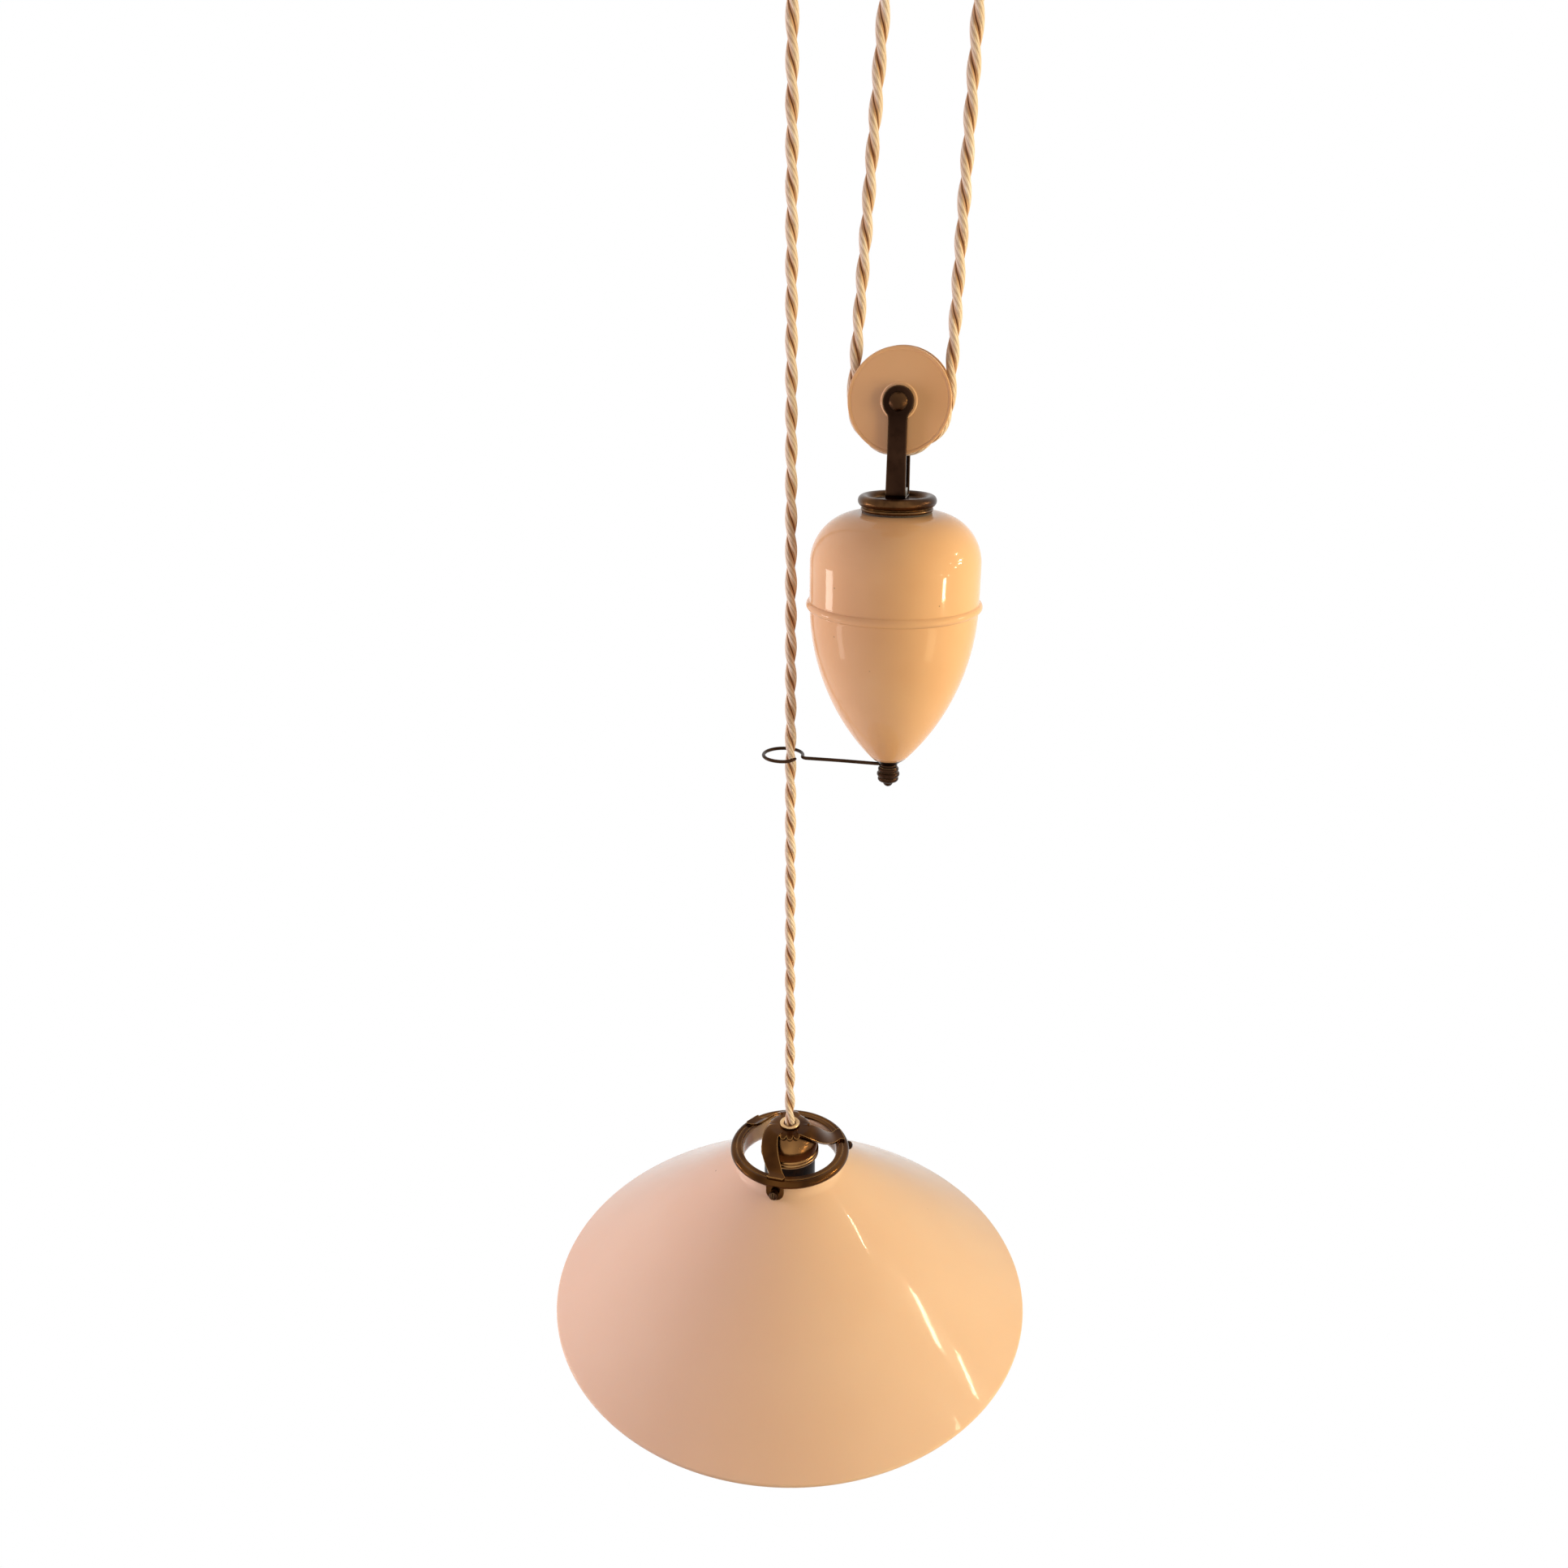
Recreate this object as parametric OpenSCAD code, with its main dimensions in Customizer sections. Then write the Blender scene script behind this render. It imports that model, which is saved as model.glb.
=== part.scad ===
// Rise and fall pendant: an opal glass shade hangs on a cord that runs over a pulley under the
// ceiling, down round the pulley of a porcelain counterweight and up again to a grip in the rose.
// Pulling the lamp down lifts the counterweight by half as much.
// Millimetres, Z up. The origin is on the ceiling at the middle of the rose; the cords hang in XZ.

/* [Hanging] */
// Ceiling to the top face of the shade gallery
gallery_drop = 672; // [640:1:900]
// Ceiling to the axle of the counterweight's pulley
weight_drop = 250; // [240:1:330]
// Ceiling to the axle of the ceiling pulley
block_drop = 58; // [54:1:70]
// Lamp cord to the axis of the counterweight
weight_gap = 51; // [48:0.5:56]
// Lamp cord to the grip that holds the far end of the cord
anchor_gap = 79; // [74:0.5:84]

/* [Cord] */
// Diameter of the twisted two core cord
cord_d = 6; // [4:0.1:6.4]
// Clearance round the cord in grooves, bushes and grips
cord_fit = 0.3; // [0.3:0.05:0.5]
// Diameter of one bared core at a terminal
core_d = 2.2; // [1.6:0.1:2.4]

/* [Pulleys] */
// Pitch diameter of the counterweight's pulley
weight_pitch_d = 44.4; // [40:0.1:48]
// Pitch diameter of the ceiling pulley
block_pitch_d = 41; // [38:0.1:43]
// Width over the flanges
pulley_w = 11.5; // [10.5:0.1:13]
// Rise of the flanges above the pitch circle
flange_rise = 1.55; // [1:0.05:2]
// Widening of the groove at its mouth, to each side
groove_flare = 0.85; // [0.4:0.05:1]
// Radius of the rounded flange edge
lip_r = 0.75; // [0.5:0.05:0.8]
// Diameter of the raised boss round the bore
boss_d = 16; // [12:0.5:20]
// Height of the boss
boss_h = 0.5; // [0.2:0.1:1]
// Diameter of the axle rivet
axle_d = 4; // [3:0.1:5]
// Running clearance of a pulley on its axle
axle_fit = 0.08; // [0.03:0.01:0.1]
// Diameter of the domed rivet heads
rivet_head_d = 8.8; // [7:0.1:10]
// Height of the domed rivet heads
rivet_head_h = 2.6; // [1.5:0.1:3.5]
// Outer diameter of the washers beside a pulley
washer_d = 9; // [7:0.1:12]
// Thickness of the washers beside a pulley
washer_t = 0.7; // [0.4:0.1:1.5]

/* [Yokes] */
// Width of the yoke strip
strap_w = 9.2; // [7:0.1:11]
// Thickness of the yoke strip
strap_t = 2; // [1.5:0.1:2.5]
// Diameter of the eye round the axle
eye_d = 14.2; // [12:0.1:16]
// Outer radius of the bends at the foot of a yoke
yoke_bend_r = 3.5; // [2.6:0.1:4.5]
// Axle to the seat of the counterweight's yoke on its cap
weight_yoke_h = 45; // [40:0.5:55]
// Axle to the seat of the ceiling yoke on the canopy
block_yoke_h = 31; // [30:0.5:36]
// Diameter of the threaded rod and of the ceiling bolt
rod_d = 5; // [4:0.1:5.5]
// Clearance of the holes that the rod and the bolt pass
rod_fit = 0.15; // [0.1:0.05:0.4]
// Width across flats of the nuts on rod and bolt
nut_af = 8; // [7.5:0.1:9]
// Height of the nuts on rod and bolt
nut_h = 4; // [3:0.1:5]
// Height of the head of the ceiling bolt
bolt_head_h = 3; // [2:0.1:3.5]

/* [Counterweight body] */
// Largest diameter of the body
body_d = 82; // [76:0.5:90]
// Radius of the shoulder
shoulder_r = 24; // [20:0.5:28]
// Diameter of the flat bottom of the body
belly_foot_d = 17.8; // [17.2:0.1:26]
// Height above the bead at which the curve of the belly starts
belly_lift = 1.5; // [0:0.1:4]
// Bead to the flat top of the body
crown_h = 44; // [38:0.5:52]
// Bead to the flat bottom of the body
belly_h = 79; // [70:0.5:90]
// Rise of the bead above the body
bead_rise = 1.7; // [0.6:0.1:3]
// Thickness of that bead
bead_t = 4.4; // [3:0.1:6]
// Thickness of the porcelain
body_wall = 5; // [3.5:0.1:7]
// Thickness of the floor of the body
body_floor = 7; // [5:0.5:10]
// Diameter of the filling hole under the cap
fill_hole_d = 24; // [18:0.5:28]
// Height of the ballast above the floor
ballast_h = 62; // [30:1:90]
// Gap between the ballast and the porcelain
ballast_gap = 0.3; // [0.1:0.1:1]

/* [Counterweight cap] */
// Diameter of the rolled rim of the cap
cap_d = 37.2; // [34:0.1:40]
// Thickness of the rolled rim
cap_rim_t = 5.4; // [4:0.1:6]
// Diameter of the foot of the cap
cap_foot_d = 34.4; // [32:0.1:38]
// Height of the foot of the cap
cap_foot_h = 2.1; // [1.5:0.1:3]
// Thickness of the plate that carries the yoke
cap_plate_t = 2.8; // [2:0.1:4]
// Depth of the spigot in the filling hole
spigot_h = 5; // [3:0.5:8]
// Wall of the spigot
spigot_wall = 1.5; // [1:0.1:2.5]
// Thickness of the felt under the cap
felt_t = 0.8; // [0.4:0.1:1.5]

/* [Finial and guide wire] */
// Top diameter of the cup under the body
cup_d = 17; // [14:0.1:20]
// Height of the cup
cup_h = 3.2; // [2.4:0.1:4.5]
// Diameter of the middle ring of the beehive nut
finial_d = 11.6; // [10:0.1:14]
// Diameter of its upper and lower rings
finial_ring_d = 10.6; // [9:0.1:12]
// Height of the beehive nut
finial_h = 11; // [10.6:0.1:16]
// Diameter of the nose of the beehive nut
finial_nose_d = 5.2; // [4:0.1:6]
// Depth of the thread in the nut
finial_bore = 7; // [5:0.5:9]
// Diameter of the guide wire
wire_d = 1.8; // [1.2:0.1:2.4]
// Outer diameter of the loop round the lamp cord
loop_d = 22.3; // [18:0.1:28]
// Offset of the loop's middle from the lamp cord, away from the counterweight
loop_shift = 4.5; // [2:0.1:5]
// Inner radius of the bend from the arm into the loop
wire_bend_r = 1.6; // [1:0.1:3]
// Angle of the loop that the wire closes
loop_turn = 325; // [290:1:335]

/* [Rose on the ceiling] */
// Middle of the cord grip to the edge of the canopy
canopy_margin = 18.5; // [17:0.5:25]
// Height of the canopy
canopy_h = 27; // [24:0.5:35]
// Thickness of the canopy's metal
canopy_wall = 1.2; // [0.8:0.1:2]
// Outer radius of the canopy's edge
canopy_edge_r = 8; // [5:0.5:8.5]
// Diameter of the bead rolled on the canopy's rim
canopy_bead_t = 2.8; // [2:0.1:4]
// Length of the ceiling bracket
bracket_l = 102; // [98:0.5:104]
// Width of the ceiling bracket
bracket_w = 18; // [14:0.5:24]
// Thickness of the ceiling bracket
bracket_t = 3; // [2:0.1:4]
// Spacing of the two ceiling screw holes
screw_spacing = 84; // [80:0.5:88]
// Diameter of the two ceiling screw holes
screw_hole_d = 4.5; // [3.5:0.1:5.5]
// Length, width and height of the terminal block
block_l = 22; // [18:0.5:24]
// Width of the terminal block
block_w = 17; // [15:0.5:18]
// Height of the terminal block
block_h = 11; // [9:0.5:13]
// Middle of the rose to the middle of the terminal block
block_x = 15; // [12:0.5:16]
// Spacing of the two poles in a terminal
pole_gap = 9; // [8.5:0.1:10]
// Diameter of the terminal screws
terminal_d = 3; // [2.4:0.1:3.4]
// Reach of the cord grip below the canopy
grip_h = 13; // [9:0.5:18]
// Diameter of the collar of the cord grip
grip_d = 14; // [12:0.1:16]
// Diameter of the threaded tube of the cord grip
grip_tube_d = 10; // [9:0.1:11]

/* [Shade] */
// Diameter of the shade over its rim
shade_d = 285.8; // [260:0.1:320]
// Top of the gallery to the lowest edge of the shade
shade_drop = 104.4; // [95:0.1:125]
// Thickness of the glass
glass_t = 3; // [2.4:0.1:4]
// Diameter of the neck of the glass
neck_d = 61; // [56:0.1:64]
// Top of the gallery to the foot of the neck
neck_drop = 9; // [8.6:0.1:14]
// Radius of the hollow between neck and cone
neck_fillet = 6; // [5.5:0.1:8]
// Swelling of the lip at the top of the neck
neck_lip = 0.6; // [0.4:0.1:1]
// Height of that lip
neck_lip_h = 2.4; // [1.5:0.1:3]

/* [Gallery] */
// Width of the flat flange on the glass
gallery_flange = 4.3; // [3:0.1:4.8]
// Thickness of the gallery's metal
gallery_t = 1.4; // [1:0.1:2]
// Diameter of the roll round its edge
gallery_bead_t = 4.6; // [4:0.1:5]
// Reach of that roll outside the skirt
gallery_bead_out = 2.2; // [1.8:0.1:2.3]
// Height of the gallery's skirt
gallery_h = 5.2; // [4.5:0.1:5.3]
// Gap between the skirt and the lip of the glass
gallery_gap = 0.3; // [0.2:0.05:1]
// Gap between the flange and the top of the glass
seat_gap = 0.3; // [0.1:0.05:0.5]

/* [Spider] */
// Height of the crown's top above the gallery
crown_z = 14.5; // [14:0.5:18]
// Diameter of the crown between its scallops
crown_d = 21; // [19:0.5:24]
// Diameter of a scallop
scallop_d = 5; // [4:0.1:6]
// Angle between two scallops
scallop_turn = 24; // [20:1:26]
// Thickness of the spider's metal
spider_t = 1.5; // [1:0.1:2]
// Width of an arm
arm_w = 8.8; // [7:0.1:11]
// Width of an arm at its foot
arm_tip_w = 7.8; // [6:0.1:9]
// Widening of an arm on each side at its root
arm_flare = 2.5; // [0:0.1:3]
// Radius at which an arm bends down
arm_bend = 12; // [11:0.1:20]
// Angle by which an arm swings round on its way out
arm_swirl = 42; // [0:1:45]
// Plan angle of the first arm
arm_angle = 27; // [0:1:120]
// Diameter of the solder under an arm's foot
solder_d = 4; // [3:0.1:4]
// Width of the lug that holds a screw
lug_w = 10.4; // [8:0.1:10.6]
// Top of the gallery to the axis of the screws
lug_drop = 7.8; // [7.2:0.1:8]
// Diameter of the shade screws
shade_screw_d = 3.2; // [2.5:0.1:3.4]
// Diameter of their necks
shade_screw_neck_d = 4; // [3.8:0.1:4.2]
// Length of their necks outside the lugs
shade_screw_neck_l = 1.6; // [1.2:0.1:2.4]
// Diameter of their heads
shade_screw_head_d = 5; // [4.6:0.1:5.6]
// Height of their heads
shade_screw_head_h = 3.4; // [2.6:0.1:4]
// Gap between a screw's tip and the glass
tip_gap = 0.25; // [0.1:0.05:0.5]
// Width of the screw slots
slot_w = 1; // [0.6:0.1:1.4]

/* [Cord entry] */
// Diameter of the bush where the cord enters
bush_d = 11.7; // [10.8:0.1:14]
// Height of that bush
bush_h = 2; // [1.9:0.1:5]
// Radius of its rounded lip
bush_lip = 0.8; // [0.5:0.1:0.9]
// Diameter of the threaded nipple
nipple_d = 8.4; // [8.2:0.1:9]
// Reach of the nipple above the crown
nipple_rise = 0.7; // [0.5:0.1:0.8]
// Length of the nipple
nipple_l = 9.5; // [9:0.5:10]
// Clearance round the nipple
nipple_fit = 0.1; // [0.05:0.05:0.3]
// Width across flats of the lock nut
locknut_af = 12; // [11.5:0.5:13]
// Height of the lock nut
locknut_h = 3.5; // [2.5:0.1:4]

/* [Lamp holder] */
// Diameter of the dome over its rolled rim
dome_d = 34; // [33:0.1:37]
// Height of the dome
dome_h = 18; // [17:0.5:22]
// Thickness of the dome's metal
dome_wall = 1; // [0.8:0.1:1.4]
// Thickness of each of the two beads on its rim
dome_bead_t = 2.4; // [2:0.1:2.8]
// Diameter of the barrel
barrel_d = 30; // [29:0.1:30.6]
// Length of the barrel
barrel_l = 37; // [34:0.5:42]
// Wall of the barrel
barrel_wall = 1.6; // [1.2:0.1:2]
// Depth of the barrel in the dome
barrel_lap = 3; // [2:0.1:5]
// Gap between the parts of the lamp holder
holder_gap = 0.2; // [0.1:0.05:0.4]
// Length of the porcelain insert
insert_l = 15; // [12:0.5:18]
// Depth of the insert's collar round the contacts
collar_h = 6; // [5.5:0.1:8]
// Bore of the bayonet socket
socket_bore = 22.4; // [22.2:0.1:22.6]
// Wall of the bayonet socket
socket_wall = 1; // [0.8:0.1:1.2]
// Length of the bayonet socket
socket_l = 20; // [17:0.5:24]
// Width of the bayonet slots
bayonet_w = 2.6; // [2.3:0.1:3]
// Height of the bayonet slots
bayonet_h = 9; // [7:0.1:11]
// Angle that the lamp turns in the slots
bayonet_turn = 22; // [15:1:30]
// Depth of the notches that keep the lamp's pins
bayonet_notch = 1.6; // [1:0.1:2.5]
// Diameter of the clamping ring
ring_d = 33; // [32:0.1:36]
// Height of the clamping ring
ring_h = 4.5; // [3:0.1:7]
// Spacing of the two spring contacts
contact_gap = 7; // [6.6:0.1:7.6]
// Diameter of a contact pin
contact_d = 3; // [2.4:0.1:3.4]
// Diameter of its head
contact_head_d = 4.4; // [3.6:0.1:4.8]
// Height of its head
contact_head_h = 2; // [1.5:0.1:3]
// Reach of a contact below the insert
contact_reach = 5; // [4:0.1:5.4]
// Depth of a contact in the insert
contact_depth = 6; // [5:0.1:7]
// Diameter of a holder terminal
holder_terminal_d = 4.6; // [4:0.1:5.4]
// Height of a holder terminal
holder_terminal_h = 5; // [4:0.1:7]

/* [Hidden] */
$fn = 96;

brass = [0.36, 0.24, 0.12];
bright_brass = [0.72, 0.55, 0.30];
porcelain = [0.93, 0.88, 0.80];
opal = [0.95, 0.91, 0.85];
ivory = [0.90, 0.84, 0.70];
bakelite = [0.10, 0.08, 0.07];
steel = [0.55, 0.55, 0.56];
felt = [0.25, 0.30, 0.24];
lead = [0.35, 0.35, 0.37];

eps = 0.01;        // overlap of cutters past the faces that they cut
play = 0.05;       // gap beside a washer and round a riveted axle
bite = 0.2;        // depth by which a tab or scallop starts inside what carries it

cord_r = cord_d / 2;
cord_hole = cord_d + 2 * cord_fit;
lamp_x = -anchor_gap / 2;
anchor_x = anchor_gap / 2;
weight_x = lamp_x + weight_gap;
block_pr = block_pitch_d / 2;
weight_pr = weight_pitch_d / 2;
pulley_x = lamp_x + block_pr;

// The strand between the pulleys crosses from the right of the upper one to the left of the lower
// one, and the last strand runs up from the right of the lower one to the grip.
cross_dx = weight_x - pulley_x;
cross_dz = weight_drop - block_drop;
left_lean = asin((block_pr + weight_pr) / norm([cross_dx, cross_dz])) - atan(cross_dx / cross_dz);
canopy_d = 2 * (anchor_x + canopy_margin);
grip_z = -canopy_h - grip_h;
last_dx = anchor_x - weight_x;
last_dz = weight_drop + grip_z;
right_lean = acos(weight_pr / norm([last_dx, last_dz])) - atan(last_dz / last_dx);
left_top = [pulley_x + block_pr * cos(left_lean), -block_drop - block_pr * sin(left_lean)];
left_foot = [weight_x - weight_pr * cos(left_lean), -weight_drop + weight_pr * sin(left_lean)];
right_foot = [weight_x + weight_pr * cos(right_lean), -weight_drop - weight_pr * sin(right_lean)];
bush_top = crown_z + bush_h;

strap_in = pulley_w / 2 + boss_h + play + washer_t;
strap_out = strap_in + strap_t;
rod_hole = rod_d + 2 * rod_fit;

// Heights on the counterweight, from its axle
felt_z = -weight_yoke_h - cap_plate_t - cap_foot_h - felt_t;
body_top = felt_z;
bead_z = body_top - crown_h;
body_bottom = bead_z - belly_h;
cup_z = body_bottom - cup_h;
wire_z = cup_z - wire_d / 2;
finial_z = cup_z - wire_d;
shoulder_z = crown_h - shoulder_r;
// Radius of the curve that leaves the upright wall above the bead and meets the edge of the bottom
belly_in = (body_d - belly_foot_d) / 2;
belly_r = (pow(belly_in, 2) + pow(belly_h + belly_lift, 2)) / (2 * belly_in);
eye_ring_r = rod_d / 2 + rod_fit + wire_d / 2 + play;

// Heights and radii on the lamp, from the top of the gallery
crown_under = crown_z - spider_t;
neck_r = neck_d / 2;
lip_outer = neck_r + neck_lip;
skirt_in = lip_outer + gallery_gap;
skirt_out = skirt_in + gallery_t;
gallery_r = skirt_out + gallery_bead_out;
roll_r = gallery_r - gallery_bead_t / 2;
lug_in = skirt_out - bite;
lug_out = lug_in + spider_t;
arm_root = crown_d / 2 - arm_w / 2;
arm_land = skirt_out - gallery_flange;
dome_in = barrel_d / 2 + holder_gap;
dome_flat = locknut_af / 2 / cos(30) + play;
dome_foot = crown_under - dome_h;
barrel_top = dome_foot + barrel_lap;
barrel_foot = barrel_top - barrel_l;
insert_top = barrel_top - 1;
insert_foot = insert_top - insert_l;
socket_foot = insert_foot - collar_h - socket_l;
socket_r = socket_bore / 2 + socket_wall;
ring_top = barrel_foot;

module at_block() { translate([pulley_x, 0, -block_drop]) children(); }
module at_weight() { translate([weight_x, 0, -weight_drop]) children(); }
module at_lamp() { translate([lamp_x, 0, -gallery_drop]) children(); }

// Turns a shape made round Z so that it lies round Y
module along_y() { rotate([90, 0, 0]) children(); }

function arc(centre, r, from, to, steps) =
    [for (i = [0 : steps]) let (a = from + (to - from) * i / steps) centre + r * [cos(a), sin(a)]];

module tube(r_out, r_in, h) {
    difference() {
        cylinder(r = r_out, h = h);
        translate([0, 0, -eps]) cylinder(r = r_in, h = h + 2 * eps);
    }
}

module hex_nut(af, h, hole) {
    difference() {
        cylinder(d = af / cos(30), h = h, $fn = 6);
        translate([0, 0, -eps]) cylinder(d = hole, h = h + 2 * eps);
    }
}

// Half outline of a round head of the given size, its flat side on the X axis
module dome_outline(d, h) {
    ball_r = (d * d / 4 + h * h) / (2 * h);
    intersection() {
        translate([0, h - ball_r]) circle(r = ball_r);
        square([d / 2, h]);
    }
}

// ---- cord -------------------------------------------------------------------------------

module bend(x, z, r, from, sweep) {
    translate([x, 0, z]) along_y() rotate([0, 0, from])
        rotate_extrude(angle = sweep) translate([r, 0]) circle(r = cord_r, $fn = 24);
}

module strand(foot, top, lean) {
    translate([foot[0], 0, foot[1]]) rotate([0, lean, 0])
        cylinder(r = cord_r, h = norm(top - foot), $fn = 24);
}

module ceiling_bend() color(ivory) bend(pulley_x, -block_drop, block_pr, -left_lean, 180 + left_lean);

module left_strand() color(ivory) strand(left_foot, left_top, left_lean);

module weight_bend() color(ivory)
    bend(weight_x, -weight_drop, weight_pr, 180 - left_lean, 180 + left_lean - right_lean);

module right_strand() color(ivory) strand(right_foot, [anchor_x, grip_z], right_lean);

module lamp_strand() color(ivory)
    strand([lamp_x, bush_top - gallery_drop], [lamp_x, -block_drop], 0);

// The end of the cord stands in the grip, and its two cores turn off to the terminal block
module anchor_tail() color(ivory) {
    core_z = -bracket_t - block_h / 2;
    reach = anchor_x - block_x - block_l / 3 + terminal_d;
    tail_z = grip_z + cord_r * sin(right_lean);
    translate([anchor_x, 0, tail_z]) cylinder(d = cord_d, h = core_z - core_d / 2 - tail_z, $fn = 24);
    for (side = [-1, 1]) {
        translate([anchor_x, side * pole_gap / 2, core_z]) rotate([0, -90, 0])
            cylinder(d = core_d, h = reach, $fn = 24);
        translate([anchor_x, 0, core_z]) rotate([-90 * side, 0, 0])
            cylinder(d = core_d, h = pole_gap / 2, $fn = 24);
        translate([anchor_x, side * pole_gap / 2, core_z]) sphere(d = core_d, $fn = 24);
    }
    translate([anchor_x, 0, core_z - core_d]) cylinder(d = core_d, h = core_d, $fn = 24);
}

// The cord goes through the nipple, and its cores spread to the two terminals in the dome
module lamp_tail() color(ivory) at_lamp() {
    split_z = crown_z + nipple_rise - nipple_l - core_d / 2 - cord_fit;
    terminal_z = insert_top + holder_terminal_h;
    translate([0, 0, split_z]) cylinder(d = cord_d, h = bush_top - split_z, $fn = 24);
    for (side = [-1, 1]) {
        translate([0, 0, split_z]) rotate([0, 90 * side, 0]) cylinder(d = core_d, h = contact_gap / 2, $fn = 24);
        translate([side * contact_gap / 2, 0, split_z]) sphere(d = core_d, $fn = 24);
        translate([side * contact_gap / 2, 0, terminal_z])
            cylinder(d = core_d, h = split_z - terminal_z, $fn = 24);
    }
}

// ---- pulleys and yokes ------------------------------------------------------------------

module pulley(pitch_d) {
    pitch_r = pitch_d / 2;
    rim_r = pitch_r + flange_rise;
    groove_r = cord_r + cord_fit;
    along_y() rotate_extrude() difference() {
        union() {
            translate([0, -pulley_w / 2]) square([rim_r - lip_r, pulley_w]);
            for (side = [-1, 1])
                translate([rim_r - lip_r, side * (pulley_w / 2 - lip_r)]) circle(r = lip_r, $fn = 48);
            translate([0, -pulley_w / 2 - boss_h]) square([boss_d / 2, pulley_w + 2 * boss_h]);
        }
        translate([pitch_r, 0]) circle(r = groove_r);
        polygon([[pitch_r, -groove_r], [rim_r + 1, -groove_r - groove_flare],
                 [rim_r + 1, groove_r + groove_flare], [pitch_r, groove_r]]);
        translate([-1, -pulley_w]) square([1 + axle_d / 2 + axle_fit, 2 * pulley_w]);
    }
}

// A rivet through both eyes, domed at each end
module axle() {
    along_y() rotate_extrude() {
        translate([0, -strap_out]) square([axle_d / 2, 2 * strap_out]);
        translate([0, strap_out]) dome_outline(rivet_head_d, rivet_head_h);
        translate([0, -strap_out]) mirror([0, 1]) dome_outline(rivet_head_d, rivet_head_h);
    }
}

module washers() {
    for (side = [-1, 1]) translate([0, side * (strap_in - washer_t / 2), 0]) along_y()
        translate([0, 0, -washer_t / 2]) tube(washer_d / 2, axle_d / 2 + play, washer_t);
}

// A strip bent to a U, with a round eye at the top of each leg; its web lies at -h
module yoke(h) {
    inner_bend = yoke_bend_r - strap_t;
    difference() {
        union() {
            rotate([90, 0, 90]) translate([0, 0, -strap_w / 2]) linear_extrude(strap_w)
                difference() {
                    rounded_foot(strap_out, h, yoke_bend_r);
                    rounded_foot(strap_in, h - strap_t, inner_bend);
                }
            for (side = [-1, 1]) translate([0, side * (strap_in + strap_t / 2), 0]) along_y()
                cylinder(d = eye_d, h = strap_t, center = true);
        }
        along_y() cylinder(d = axle_d + 2 * play, h = 2 * strap_out + 2, center = true);
        translate([0, 0, -h - eps]) cylinder(d = rod_hole, h = strap_t + 2 * eps);
    }
}

// Outline of half width w from the axle down to -h, with rounded lower corners
module rounded_foot(w, h, r) {
    translate([-w, -h + r]) square([2 * w, h - r]);
    translate([-w + r, -h]) square([2 * (w - r), r + eps]);
    for (side = [-1, 1]) translate([side * (w - r), -h + r]) circle(r = r, $fn = 48);
}

module block_pulley() color(porcelain) at_block() pulley(block_pitch_d);
module block_axle() color(brass) at_block() axle();
module block_washers() color(bright_brass) at_block() washers();
module block_yoke() color(brass) at_block() mirror([0, 0, 1]) yoke(block_yoke_h);
module weight_pulley() color(porcelain) at_weight() pulley(weight_pitch_d);
module weight_axle() color(brass) at_weight() axle();
module weight_washers() color(bright_brass) at_weight() washers();
module weight_yoke() color(brass) at_weight() yoke(weight_yoke_h);

// ---- rose on the ceiling ----------------------------------------------------------------

module ceiling_bracket() color(steel) difference() {
    translate([0, 0, -bracket_t]) {
        end_x = (bracket_l - bracket_w) / 2;
        translate([-end_x, -bracket_w / 2, 0]) cube([2 * end_x, bracket_w, bracket_t]);
        for (side = [-1, 1]) translate([side * end_x, 0, 0]) cylinder(d = bracket_w, h = bracket_t);
    }
    for (side = [-1, 1]) translate([side * screw_spacing / 2, 0, -bracket_t - eps])
        cylinder(d = screw_hole_d, h = bracket_t + 2 * eps);
    translate([pulley_x, 0, -bracket_t - eps]) cylinder(d = rod_hole, h = bracket_t + 2 * eps);
    translate([block_x, 0, -bracket_t - eps]) cylinder(d = terminal_d + 2 * rod_fit, h = bracket_t + 2 * eps);
}

// Half outline of the canopy, drawn in from the metal's outer face by inset
module canopy_outline(inset) {
    r = canopy_d / 2 - canopy_bead_t / 2 - inset;
    edge = canopy_edge_r - inset;
    h = canopy_h - inset;
    translate([0, -h]) square([r - edge, h]);
    translate([0, -h + edge]) square([r, h - edge]);
    translate([r - edge, -h + edge]) circle(r = edge);
}

module canopy() color(brass) difference() {
    rotate_extrude() {
        difference() {
            canopy_outline(0);
            canopy_outline(canopy_wall);
        }
        translate([canopy_d / 2 - canopy_bead_t / 2, -canopy_bead_t / 2]) circle(d = canopy_bead_t);
    }
    translate([pulley_x, 0, -canopy_h - 1]) cylinder(d = rod_hole, h = canopy_wall + 2);
    translate([anchor_x, 0, -canopy_h - 1]) cylinder(d = grip_tube_d + 2 * rod_fit, h = canopy_wall + 2);
}

module block_bolt() color(steel) at_block() {
    seat = block_yoke_h - strap_t;
    translate([0, 0, seat - bolt_head_h]) cylinder(d = nut_af / cos(30), h = bolt_head_h, $fn = 6);
    translate([0, 0, seat - eps]) cylinder(d = rod_d, h = block_drop - seat - bracket_t / 4 + eps);
}

module block_nuts() color(steel) {
    translate([pulley_x, 0, -canopy_h + canopy_wall]) hex_nut(nut_af, nut_h, rod_hole);
    translate([pulley_x, 0, -bracket_t - nut_h]) hex_nut(nut_af, nut_h, rod_hole);
}

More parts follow.
